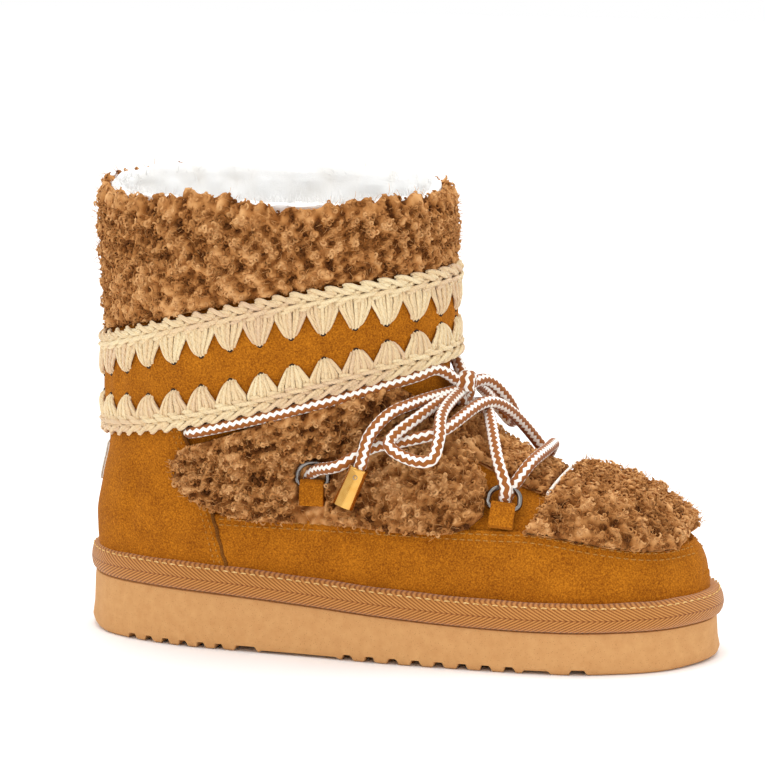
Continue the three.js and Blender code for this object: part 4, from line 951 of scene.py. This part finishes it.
def plant_locks(name, place, spacing, tries, seed, bed, gate=None):
    """Short curled strands over a patch, and the numbers that colour them."""
    picks = np.random.default_rng(seed)
    u, v = scatter(place, spacing, tries, seed)
    point, out, depth = place(u, v)
    if gate is not None:
        keep = gate(point)
        point, out, depth = point[keep], out[keep], depth[keep]
    count = len(point)
    lean = unit(np.cross(out, unit(picks.normal(size=(count, 3)) + np.array([0, 0, -0.5]))))
    side = np.cross(out, lean)
    t = np.linspace(0, 1, 7)[None, :, None]
    clump = clumps(point, bed)[:, None, None]
    winds = picks.uniform(3.5, 6.5, (count, 1, 1))
    wide = picks.uniform(0.5, 0.9, (count, 1, 1))
    turn = picks.uniform(0, 6.3, (count, 1, 1)) + t * winds
    lift = (0.35 * t + 1.0 * np.sin(t * 2.5) + 1.25 * clump) * picks.uniform(0.85, 1.1, (count, 1, 1))
    base = (point + out * (depth[:, None] - 1.7))[:, None, :]
    curl = lean[:, None, :] * (wide * np.cos(turn) + 0.7 * t)
    line = base + out[:, None, :] * lift + curl + side[:, None, :] * wide * np.sin(turn)
    fat = picks.uniform(0.4, 0.62, (count, 1)) * np.array([0.85, 1.0, 1.05, 1.0, 0.9, 0.75, 0.35])
    # Painted shade: locks low in the clumps and near their roots get a darker colour, locks on the clump tops and
    # their tips a paler one.
    height = np.clip(0.36 + 0.07 * lift[..., 0] + 0.36 * clump[..., 0], 0, 1)
    tone = np.repeat(picks.random((count, 1)), 7, axis=1)
    points, faces, values = many_tubes(line, fat, 3, {"depth": height, "tone": tone})
    dress(add_piece(name, points, faces, values), curls, "curls")
    print(name, count, "locks")


def plant_hairs(name, place, count, seed, finish=curls, slot="curls", long=(2.5, 4.5), thick=0.1, start=0.2):
    """Fine loose hairs that stand off a patch."""
    picks = np.random.default_rng(seed)
    u, v = picks.random((2, count))
    point, out, depth = place(u, v)
    way = unit(out + picks.normal(size=(count, 3)) * 0.55)
    bend = np.cross(way, unit(picks.normal(size=(count, 3))))
    t = np.linspace(0, 1, 5)[None, :, None]
    length = picks.uniform(*long, (count, 1, 1))
    root = (point + out * (depth[:, None] + start - 0.8))[:, None, :]
    line = root + way[:, None, :] * length * t + bend[:, None, :] * length * 0.45 * t * t
    # Painted shade: each hair is coloured darker at its root and paler towards its tip.
    numbers = {"depth": np.linspace(0.5, 1, 5)[None], "tone": picks.random((count, 1))}
    points, faces, values = many_tubes(line, thick * np.array([1, 1, 0.9, 0.7, 0.3]), 3, numbers)
    dress(add_piece(name, points, faces, values), finish, slot)


def lay_bed(name, place, columns, rows_up, low, bed, node, closed=False):
    """The lumpy bed of wool that the locks are planted on."""
    u = np.linspace(0, 1, columns, endpoint=not closed)
    u, v = np.meshgrid(u, np.linspace(0, 1, rows_up))
    point, out, depth = place(u, v)
    heap = clumps(point, bed) + 0.45 * lumps(point, 2.6, bed + 3)
    high = depth * 0.74 + 1.35 * heap * np.clip(depth / 3, 0, 1)
    outer = point + out * np.maximum(high, low + 0.4)[..., None]
    # Painted shade: the bed is coloured darker in the hollows between its clumps and paler on their tops.
    painted_clump_shade = np.clip(0.46 + 0.3 * heap, 0, 1)
    shell = add_shell(name, outer, point + out * low, closed=closed, values={"depth": painted_clump_shade, "tone": painted_clump_shade})
    dress(shell, curls, "curls", node)


def rounded(u, v, wide, high, full, edge=5.0):
    """Depth of a patch's pile, falling in a round edge towards its border."""
    d = np.minimum(np.minimum(u, 1 - u) * wide, np.minimum(v, 1 - v) * high)
    return full * (0.35 + 0.65 * np.sqrt(np.clip(1 - (1 - np.clip(d / edge, 0, 1)) ** 2, 0, 1)))


# %% Cuff of sheepskin round the shaft
dip_at, lobe_at, second_at = (float(side_spot(x, 184, True)[1]) for x in (80, 44, 116))
cuff_turns = np.linspace(0, 1, 241)
cuff_lows = band_spot("high", cuff_turns * 2 * np.pi, 1.4)


def cuff_place(u, v):
    a = u * 2 * np.pi
    low = np.interp(u % 1, cuff_turns, cuff_lows)
    dip = np.exp(-(((a - dip_at + 0.1) / 0.28) ** 2)) + 0.35 * np.sin(a * 3 + 1) ** 2 + 0.2 * np.sin(a * 11)
    lobe = np.exp(-(((a - lobe_at) / 0.24) ** 2)) + 0.75 * np.exp(-(((a - second_at) / 0.3) ** 2))
    tuft = 0.07 * np.sin(a * 31 + 0.6 * np.sin(a * 5)) + 0.05 * np.sin(a * 53 + 2)
    s = mix(low, collar + 0.16 + 0.22 * lobe - 0.16 * dip + tuft - 0.2 * ease(np.sin(a) * 2), v)
    swell = np.interp(v, np.linspace(0, 1, 7), [0.45, 0.72, 0.85, 0.95, 1, 0.95, 0.62])
    rise = ease((v - 0.86) / 0.14)[..., None] * np.array([0, 0, 0.9])
    return skin(s, a), unit(normal(s, a) + rise), clearance + 5.9 * swell


lay_bed("cuff_bed", cuff_place, 330, 56, 0.3, 3, "fur_cuff", closed=True)
for side, gate in (("lateral", lambda p: p[:, 1] < 0), ("medial", lambda p: p[:, 1] >= 0)):
    plant_locks(f"cuff_locks_{side}", cuff_place, 1.6, 60000, 21, 3, gate)
plant_hairs("cuff_hairs", cuff_place, 1100, 5)

# %% Quarter panels, as shares along, and up at their foot and at their top
quarter_rows = np.array([
    (0.178, 0.385, 0.42), (0.2, 0.35, 0.455), (0.225, 0.327, 0.462), (0.27, 0.305, 0.479),
    (0.33, 0.296, 0.509), (0.45, 0.296, 0.568), (0.5, 0.29, 0.595), (0.54, 0.287, 0.56),
    (0.6, 0.288, 0.48), (0.64, 0.3, 0.42), (0.668, 0.33, 0.38)])  # fmt: skip


def quarter_place(lateral):
    def place(u, v):
        share = mix(quarter_rows[0, 0], quarter_rows[-1, 0], u)
        low = smooth(quarter_rows[:, 0], quarter_rows[:, 1], share)
        high = smooth(quarter_rows[:, 0], quarter_rows[:, 2], share) + 0.014 * ease(u * 4) * ease((1 - u) * 3)
        s, a = side_spot(along(share), mix(low, high, v) * collar_height, lateral)
        return skin(s, a), normal(s, a), panel_stand + rounded(u, v, 130, 40, panel_depth)

    return place


def clear_of_tabs(lateral):
    """A test of points in a quarter panel: false under the ring tabs and inside the rings."""
    frames = [ring_frame(which, lateral) for which in ring_spots]

    def keep(points):
        free = np.ones(len(points), bool)
        for origin, axes in frames:
            x, y, _ = ((points - origin) @ axes.T).T
            inside_tab = (np.abs(x) < 6.6) & (y < bar_high + 1) & (y > -16)
            inside_ring = (np.abs(x) < 8.2) & (y >= bar_high + 1) & (y < bar_high + 11.5)
            free &= ~(inside_tab | inside_ring)
        return free

    return keep


for lateral, side in sides_of_foot:
    place, keep = quarter_place(lateral), clear_of_tabs(lateral)

    def pressed_place(u, v, place=place, keep=keep):
        """The panel with its pile pressed down under the tabs and rings."""
        point, out, depth = place(u, v)
        free = keep(point.reshape(-1, 3)).reshape(depth.shape)
        return point, out, np.where(free, depth, panel_stand + 0.8)

    lay_bed(f"quarter_bed_{side}", pressed_place, 150, 52, 1.0, 4, f"fur_quarter_{side}")
    plant_locks(f"quarter_locks_{side}", place, 1.65, 20000, 31, 4, keep)
    plant_hairs(f"quarter_hairs_{side}", pressed_place, 600, 6)

# %% Toe panel and tongue
def toe_place(u, v):
    w = 2 * u - 1
    x = along(mix(mix(0.768, 0.733, w * w), 0.944, 1 - (1 - v) ** 1.35))
    s, spread = side_spot(x, guard_edge(x) * 0.96, True)
    a = w * spread
    return skin(s, a), normal(s, a), panel_stand + rounded(u, v, 110, 55, panel_depth)


tongue_low = float(side_spot(along(0.752), 0.3 * collar_height)[0])


def tongue_place(u, v):
    s = mix(tongue_low, 11.3, v)
    half = np.arcsin(np.clip(18.5 / ((section(s)[4] + section(s)[5]) / 2), 0, 0.6))
    a = (2 * u - 1) * half
    return skin(s, a), normal(s, a), clearance + rounded(u, v, 37, 50, tongue_depth, 3)


lay_bed("toe_bed", toe_place, 130, 56, 1.6, 5, "fur_toe")
plant_locks("toe_locks", toe_place, 1.65, 26000, 41, 5)
plant_hairs("toe_hairs", toe_place, 600, 7)
lay_bed("tongue_bed", tongue_place, 50, 70, 0.2, 6, "fur_tongue")
plant_locks("tongue_locks", tongue_place, 1.7, 8000, 51, 6)

# %% Pale cut edge of the toe panel's hide
hide = Finish("sheepskin_hide_cut_edge", 0.8)
hide.look(hide.ramp(hide.noise(0.6, 3), (0.3, "#E2D6C6"), (0.7, "#F8F3EA")))
point, out, _ = toe_place(np.linspace(0.3, 0.78, 60), np.zeros(60))
edge_line = point + out * (panel_stand + 3.6)
add_cord("toe_panel_edge", None, radius=0.7, sides=8, finish=hide, slot="curls", line=edge_line)

# %% [markdown]
# ## White lining
# The boot is lined with undyed fleece, and it rolls over the collar in a soft white rim that stands a
# few millimetres above the brown wool. Fleece has no curls to draw, so it is one thick sheet with
# gentle lumps at three sizes and fine hairs along its rim. A sole of the same fleece lies on the
# floor of the boot.

# %% Fleece
straight_up = np.array([0, 0, 1.0])
lining_foot = 13.5  # section at the lining's lower end
u, v = np.meshgrid(np.linspace(0, 1, 180, endpoint=False), np.linspace(0, 1, 56))
a = u * 2 * np.pi
s = np.interp(v, [0, 0.62, 0.86, 1], [lining_foot, collar - 0.15, collar + 0.17, collar + 0.1])
inward = np.interp(v, [0, 0.5, 0.72, 0.86, 0.94, 1], [5.2, 5.6, 5.0, 3.4, 1.6, 0.2])
point, out = skin(s, a, -inward), -normal(s, a)
soft = 1.1 * lumps(point, 16, 61) + 0.6 * lumps(point, 5, 62) + 0.25 * lumps(point, 1.8, 63)
crown = ease((v - 0.55) / 0.3)
far_side = mix(-1.0, 4.4, ease(point[..., 1] / 60 + 0.5))
lift = (soft * 0.8 + far_side) * crown
outer = point + out * (soft * (1 - crown))[..., None] + straight_up * lift[..., None]
low = skin(np.interp(v, [0, 1], [lining_foot, collar - 0.1]), a, -1.2)
# Painted shade: the fleece is coloured a little darker in the hollows between its lumps.
values = {"depth": np.clip(0.75 + 0.3 * soft, 0, 1), "tone": np.full(u.shape, 0.5)}
dress(add_shell("lining_fleece", outer, low, closed=True, values=values), fleece, "insole", "upper")


def rim_place(u, v):
    a = u * 2 * np.pi
    way = unit(normal(collar, a) * 0.2 + straight_up)
    return skin(mix(collar - 0.1, collar + 0.14, v), a, -1.0 - 3.6 * v), way, np.zeros(u.shape)


plant_hairs("lining_hairs", rim_place, 1350, 8, fleece, "insole", long=(2.2, 4.6), thick=0.14, start=0.9)

# %% Fleece sole inside the boot
u, v = np.meshgrid(np.linspace(0, 1, 70, endpoint=False) * 2 * np.pi, np.linspace(0, 1, 28))
x0, x1 = along(0.045), along(0.965)
middle, reach = (x0 + x1) / 2, (x1 - x0) / 2
x = middle + reach * np.cos(u) * v
half = sole_half(turn_of((x + heel_pad) / foot_length), np.sin(u) < 0) - 8.5
edge_x = np.sqrt(np.clip(1 - ((x - middle) / reach) ** 2, 1e-6, 1))
y = np.sin(u) * v / np.maximum(edge_x, 0.05) * half * np.minimum(edge_x / 0.45, 1)
base = np.stack([x, y, sole_top(x) + clearance], axis=-1)
pad = np.stack([x, y, sole_top(x) + clearance + 6 - 1.6 * v**6], axis=-1)
pad[..., 2] += 0.5 * lumps(pad, 7, 71) - 0.5
values = {"depth": np.full(u.shape, 0.8), "tone": np.full(u.shape, 0.5)}
dress(add_shell("insole_fleece", pad[::-1], base[::-1], closed=True, values=values), fleece, "insole", "insole")

# %% [markdown]
# ## Crochet edges
# Both edges of the ankle band are worked in cotton yarn: a plait of 54 links along the edge, and from
# it a fan of nine strands every thirteen millimetres that gathers in a hole punched in the suede.
# Each link is two plies twisted together and each strand is its own tube, so that the fans have real
# furrows. The yarn is dyed in patches from cream to rose, which the material takes from a number that
# wanders along the round.

# %% Cotton yarn
yarn = Finish("cotton_yarn_variegated", 0.85, specular=0.2, sheen=0.25)
waves = {"Vector": yarn.place, "Scale": 1 / (5 * mm), "Distortion": 2.0, "Detail": 2, "Detail Scale": 2.0}
ply = yarn.node("TexWave", waves, bands_direction="DIAGONAL").outputs["Fac"]
hair = yarn.noise(0.45, 3)
wander = yarn.maths("MULTIPLY_ADD", hair, 0.35, yarn.kept("tone"))
colour = yarn.ramp(wander, (0.2, "#CFA488"), (1.0, "#F2DCB0"), (0.45, "#E0BE9A"), (0.72, "#EACDA0"))
yarn.look(colour, yarn.maths("ADD", ply, hair), 0.9, 0.45)

# %% Plait and fans
trim_wide, fan_long, fan_count, plait_count = 6, {"low": 9.6, "high": 12}, 30, 54
on_band = clearance + 2 + clearance
hole_spots = []


def yarn_place(edge, height, share, out):
    """Places on the band: height above its low edge, or below its high one, and share of the round."""
    a = turn_at(share)
    return skin(band_spot(edge, a, height if edge == "low" else -height), a, out)


def add_yarn(name, lines, fats, tones, *nodes):
    numbers = {"tone": np.array(tones)[:, None]}
    points, faces, values = many_tubes(np.array(lines), np.array(fats), 5, numbers)
    dress(add_piece(name, points, faces, values), yarn, "crochet", *nodes)
    print(name, len(lines), "strands")


for edge_name, up in (("low", 1), ("high", -1)):
    picks = np.random.default_rng(80 + up)
    t = np.linspace(-1, 1, 13)
    lines, fats, tones = [], [], []
    for k in range(plait_count):
        for leg, slant in ((4.5, 1), (1.1, -1)):
            share = (k + (0.5 if leg > 3 else 0)) / plait_count + t * 0.8 / plait_count
            for ply in (-1, 1):
                twist = 2.6 * t + (1.5 if ply > 0 else -1.64)
                height = leg + slant * 1.5 * np.sin(t * 1.35) + 0.62 * np.cos(twist)
                out = 3.5 + 1.0 * (1 - t * t) + 0.45 * t * slant + 0.55 * np.sin(twist)
                lines.append(yarn_place(edge_name, height, share, out))
                fats.append(0.98 * np.sqrt(np.clip(1 - (t * 0.95) ** 6, 0.03, 1)))
                tones.append(0.46 + 0.16 * math.sin(k * 0.42 + up) + 0.24 * picks.random())
    add_yarn(f"crochet_plait_{edge_name}", lines, fats, tones, f"trim_{edge_name}")
    t = np.linspace(0, 1, 10)
    wide = np.interp(t, [0, 0.3, 0.75, 1], [0.86, 0.9, 0.52, 0.26])
    rise = np.interp(t, [0, 0.25, 0.7, 0.92, 1], [0.9, 1.4, 1.7, 1.1, -0.5])
    lines, fats, tones = [], [], []
    for i in range(fan_count):
        reach = fan_long[edge_name] + picks.uniform(-0.4, 0.4)
        for w in np.linspace(-1, 1, 9) + picks.uniform(-0.05, 0.05, 9):
            height = trim_wide - 1.6 + (reach + 1.6) * t * (1 - 0.06 * w * w)
            out = on_band + rise - 0.5 * w * w + 0.3 * math.cos(w * 12)
            lines.append(yarn_place(edge_name, height, i / fan_count + 0.5 / fan_count * w * wide, out))
            fats.append(np.interp(t, [0, 0.4, 1], [0.95, 0.92, 0.6]))
            tones.append(0.46 + 0.14 * math.sin(i * 0.93 + 1.3 * up) + 0.24 * picks.random())
        a = float(turn_at(i / fan_count))
        hole_spots.append((float(band_spot(edge_name, a, up * (trim_wide + reach - 0.5))), a))
    add_yarn(f"crochet_fans_{edge_name}", lines, fats, tones)

# %% Punched holes
hollow = Finish("suede_hole_shadow", 1.0)
hollow.look(hollow.ramp(hollow.noise(0.5), (0.3, "#1D1006"), (0.7, "#3A2210")))
hole_profile = ((1.3, -0.6), (1.2, 0.5), (0.9, 0.6), (0.05, 0.45))
rim_turns = np.linspace(0, 2 * np.pi, 14, endpoint=False)
points, faces = [], []
for s, a in hole_spots:
    middle, out = skin(s, a, clearance + 2.3), normal(s, a)
    flat = unit(np.cross([0, 0, 1.0], out))
    tall = np.cross(out, flat)
    faces += capped(len(hole_profile), len(rim_turns), len(points))
    for radius, lift in hole_profile:
        points += [middle + (flat * math.cos(r) + tall * math.sin(r)) * radius + out * lift for r in rim_turns]
dress(add_piece("punched_holes", points, faces), hollow, "suede")
print(len(hole_spots), "holes")

# %% [markdown]
# ## Hardware
# Four D-rings of dark nickel-plated steel wire stand in folded suede tabs, and the lace ends are
# pinched into gold-plated tubes with a small hole near the top. The rings could swing in their tabs,
# but the lace holds them up. Metal takes its whole look from what it reflects, so its colour is its
# reflectance and a faint noise in the roughness keeps it from looking like a mirror.

# %% Metals
def make_metal(name, dark, light, roughness, brushed):
    finish = Finish(name, roughness, metallic=1.0)
    wear = finish.noise(brushed, 3)
    rough = finish.node("MapRange", {0: wear, 3: roughness * 0.7, 4: roughness * 1.5}).outputs[0]
    finish.tree.links.new(rough, finish.shader.inputs["Roughness"])
    return finish.look(finish.blend(wear, tint(dark), tint(light)))


steel = make_metal("steel_black_nickel_plated", "#6F6B68", "#96918C", 0.22, 2)
gold = make_metal("brass_gold_plated_polished", "#C98F3E", "#E3B566", 0.13, 3)

# %% Tabs and D-rings
half = tab_depth / 2
outline = [(-half, 0.2), (-half, bar_high)]
outline += [(-half * math.cos(b), bar_high + half * math.sin(b)) for b in np.linspace(0, np.pi, 13)[1:]]
outline += [(half, bar_high * 0.5), (half * 0.5, 0.0), (-half * 0.4, -0.1)]
tab_columns = np.array([-1, -0.97, -0.9, -0.5, 0, 0.5, 0.9, 0.97, 1]) * 5
pinches = [0.86, 0.96, 1, 1, 1, 1, 1, 0.96, 0.86]  # the tab's cut edges are rounded
tab_grid = np.array([[(x, (y - bar_high / 2) * (0.5 + p / 2) + bar_high / 2, z * p) for z, y in outline]
                     for x, p in zip(tab_columns, pinches)])  # fmt: skip
r, high = (ring_wide - wire) / 2, ring_reach + half - wire / 2
path = [(-r * 0.82, 0), (-r * 0.4, 0), (r * 0.4, 0), (r * 0.82, 0), (r, r * 0.22), (r, high * 0.4)]
path += [(r * math.cos(q), high * 0.4 + high * 0.6 * math.sin(q)) for q in np.linspace(0.3, np.pi - 0.3, 9)]
path += [(-r, high * 0.4), (-r, r * 0.22), path[0]]
ring_line, _ = spline([(x, bar_high + y, 0) for x, y in path], 73)
ring_points = tube_rings(ring_line[:-1], wire / 2, 12).reshape(-1, 3)
for lateral, side in sides_of_foot:
    for which in ring_spots:
        points = at_ring(which, lateral, tab_grid.reshape(-1, 3))
        tab = add_piece(f"tab_{which}_{side}_suede", points, capped(len(tab_columns), len(outline)), crisp=50)
        dress(tab, suede, "suede", f"tab_{which}_{side}")
        points = at_ring(which, lateral, ring_points)
        ring = add_piece(f"ring_{which}_{side}_steel", points, grid_quads(72, 12, True, True))
        dress(ring, steel, "ring_steel", f"ring_{which}_{side}")

# %% Gold tips
def turned(profile, turns, middle, axis, across, tall):
    """Rings of a turned form: its profile is (radius, distance along the axis)."""
    return np.array([[middle + axis * y + (across * math.cos(q) + tall * math.sin(q)) * r for q in turns]
                     for r, y in profile])  # fmt: skip


profile = [(3.1, 0.4), (3.1, 0), (3.5, -0.12), (3.95, 0.1), (4.1, 0.55), (4.0, 1.1), (3.92, 1.5), (4.0, 3),
           (4.32, 16.4), (4.3, 16.85), (4.0, 17), (3.5, 16.9), (3.4, 16.4), (3.15, 4), (3.0, 1.2)]  # fmt: skip
pin_profile = [(0.95, -0.3), (0.95, 0.32), (0.7, 0.36), (0.62, -0.2)]
turns = np.linspace(0, 2 * np.pi, 40, endpoint=False)
for piece_end, line, length, side in cord_pieces:
    top, toward = tip_lines[side]
    flat = unit(np.cross(toward, [0, 0, 1.0]))
    tall = np.cross(toward, flat)
    rings = turned(profile, turns, top, toward, flat, tall)
    tip = add_piece(f"lace_tip_{side}_gold", rings, grid_quads(len(profile), 40, True, True), crisp=40)
    dress(tip, gold, "tip_gold", f"lace_tip_{side}")
    look = np.array(back) if side == "lateral" else np.array([0.3, 0.9, 0.3])
    facing = unit(look - toward * (look @ toward))
    middle = top + toward * 3.6 + facing * 3.75
    spots = turned(pin_profile, turns[::2], middle, facing, toward, np.cross(facing, toward))
    pin = dress(add_piece(f"tip_hole_{side}", spots, capped(4, 20), crisp=40), steel, "ring_steel")
print("tips and rings")

# %% [markdown]
# ## Stitching and edges
# Stitches are short beads of thread that sink into the leather at both ends. They are modelled, not
# painted, because their little shadows say where each panel ends. The counter's edge is left raw, so
# it has a darker lip of its own.

# %% Thread, heel patch and raw edge
thread_finish = make_suede("thread_tan_polyester", "#8A5A22", "#AD7734", "#C28E4C", 0.6)
pale_thread = make_suede("thread_pale_tan_polyester", "#BC8C4C", "#DAB070", "#ECCB94", 0.6)


def stitch_row(name, points, outs, pitch=3.2, long=2.1, radius=0.3, finish=thread_finish, slot="suede"):
    """Stitches along a line of points, each an arched bead."""
    length = np.concatenate([[0], np.cumsum(np.linalg.norm(np.diff(points, axis=0), axis=1))])
    starts = np.arange(0.5, length[-1] - long, pitch)
    t = np.linspace(0, 1, 6)
    lines = []
    for s0 in starts:
        at = s0 + t * long
        p = np.stack([np.interp(at, length, points[:, k]) for k in range(3)], axis=1)
        o = np.stack([np.interp(at, length, outs[:, k]) for k in range(3)], axis=1)
        lines.append(p + o * (0.34 * np.sin(t * np.pi)[:, None] - 0.12))
    pts, faces, values = many_tubes(np.array(lines), radius * np.array([0.6, 1, 1.05, 1.05, 1, 0.6]), 6)
    return dress(add_piece(name, pts, faces), finish, slot)


for lateral, side in sides_of_foot:
    for row, drop in (("upper", 1.9), ("lower", 4.3)):
        x = np.linspace(float(seam(55)) + 2, along(0.97), 300)
        z = guard_edge(x) - drop
        s, a = side_spot(x, z, lateral, clearance + guard_thick)
        use = np.abs(a) > 0.12
        dent = crease(x, z) * ease(drop / (guard_edge(x) - sole_top(x)) * 6) * ease((along(0.9) - x) / 20)
        points = skin(s, a, clearance + guard_thick - dent)[use]
        stitch_row(f"guard_stitches_{row}_{side}", points, normal(s, a)[use])
    z = np.linspace(33, 92, 120)
    for row, shift in (("near", -2.2), ("far", -4.6)):
        s, a = side_spot(seam(z) + shift, z, lateral, counter_out)
        points = skin(s, a, counter_out - crease(seam(z) + shift, z) * 0.6)
        stitch_row(f"counter_stitches_{row}_{side}", points, normal(s, a), pitch=2.6, long=1.1, radius=0.26)
    z = np.linspace(27, 92, 140)
    s, a = side_spot(seam(z) + 0.15, z, lateral, counter_out)
    lip = skin(s, a, clearance + 1.25) + np.array([0.35, 0, 0]) * np.sin(z * 0.9)[:, None] * 0.5
    add_cord(f"counter_raw_edge_{side}", None, radius=0.8, sides=8, finish=raw_edge, slot="suede", line=lip)
loop, outward = outline_loop(350, 0)
top_z = sole_top(loop[:, 0]) + clearance + rand_high * 0.89
top_line = np.column_stack([loop + outward * (0.42 * swell)[:, None], top_z])
rand_out = np.column_stack([outward * 0.6, np.full(len(loop), 0.8)])
stitch_row("rand_stitches", top_line, rand_out, pitch=4, long=2.4, radius=0.32, finish=pale_thread, slot="tape")

# %% Heel patch, a rounded rectangle laid on the counter's back
patch_hide = Finish("leather_smooth_off_white", 0.55, specular=0.4)
pebble = patch_hide.cells(0.8, feature="SMOOTH_F1")
patch_hide.look(patch_hide.ramp(pebble, (0.2, "#D8D0C2"), (0.7, "#ECE6DA")), pebble, 0.3, 0.12)
patch_out, patch_half = 2.45, 11
w, h = np.meshgrid(np.linspace(-1, 1, 41), np.linspace(-1, 1, 31))
corner = (np.abs(w) ** 8 + np.abs(h) ** 8) ** (1 / 8)
fit = np.maximum(np.abs(w), np.abs(h)) / np.maximum(corner, 1e-6)
z = (0.38 + 0.045 * h * fit) * collar_height
y_want = patch_half * w * fit
a = np.full(w.shape, math.pi)
for k in range(55):  # first from a guess at the angle, then in small steps
    s = level(z, a, patch_out, 10.5)
    if k < 30:
        a = math.pi + y_want / np.maximum(section(s)[4], 1) * 0.5
    a = a + np.clip((y_want - skin(s, a, patch_out)[..., 1]) / 40, -0.1, 0.1)
edge_in = np.sqrt(np.clip(1 - np.clip((corner - 0.9) / 0.1, 0, 1) ** 2, 0.1, 1))
patch = add_shell("heel_patch_leather", skin(s, a, patch_out + 1.0 * edge_in), skin(s, a, 1.8))
dress(patch, patch_hide, "patch", "heel_patch")
print("stitches, edge and patch")


# %% Stage
floor_mesh = bpy.data.meshes.new("floor")
floor_mesh.from_pydata([(-3, -3, 0), (3, -3, 0), (3, 3, 0), (-3, 3, 0)], [], [(0, 1, 2, 3)])
floor = bpy.data.objects.new("floor", floor_mesh)
bpy.context.scene.collection.objects.link(floor)
paper = Finish("paper_pale_matt", 0.9)
paper.shader.inputs["Base Color"].default_value = tint("#FFFFFF")
floor_mesh.materials.append(paper.material)
world = bpy.data.worlds.new("soft_room")
world.use_nodes = True
world.node_tree.nodes["Background"].inputs[0].default_value = (1, 1, 1, 1)
world.node_tree.nodes["Background"].inputs[1].default_value = 1.0
bpy.context.scene.world = world
lamps = (
    ("key", (-0.5, -1.3, 1.6), 1.1, 6.5),
    ("fill", (1.3, -0.9, 0.9), 1.2, 2.5),
    ("top", (0.1, 0.3, 1.9), 1.2, 17),
)
for name, where, size, power in lamps:
    lamp = bpy.data.lights.new(name, "AREA")
    lamp.size, lamp.energy = size, power
    light = bpy.data.objects.new(name, lamp)
    bpy.context.scene.collection.objects.link(light)
    light.location = where
    light.rotation_euler = (Vector((0.11, 0, 0.08)) - Vector(where)).to_track_quat("-Z", "Y").to_euler()
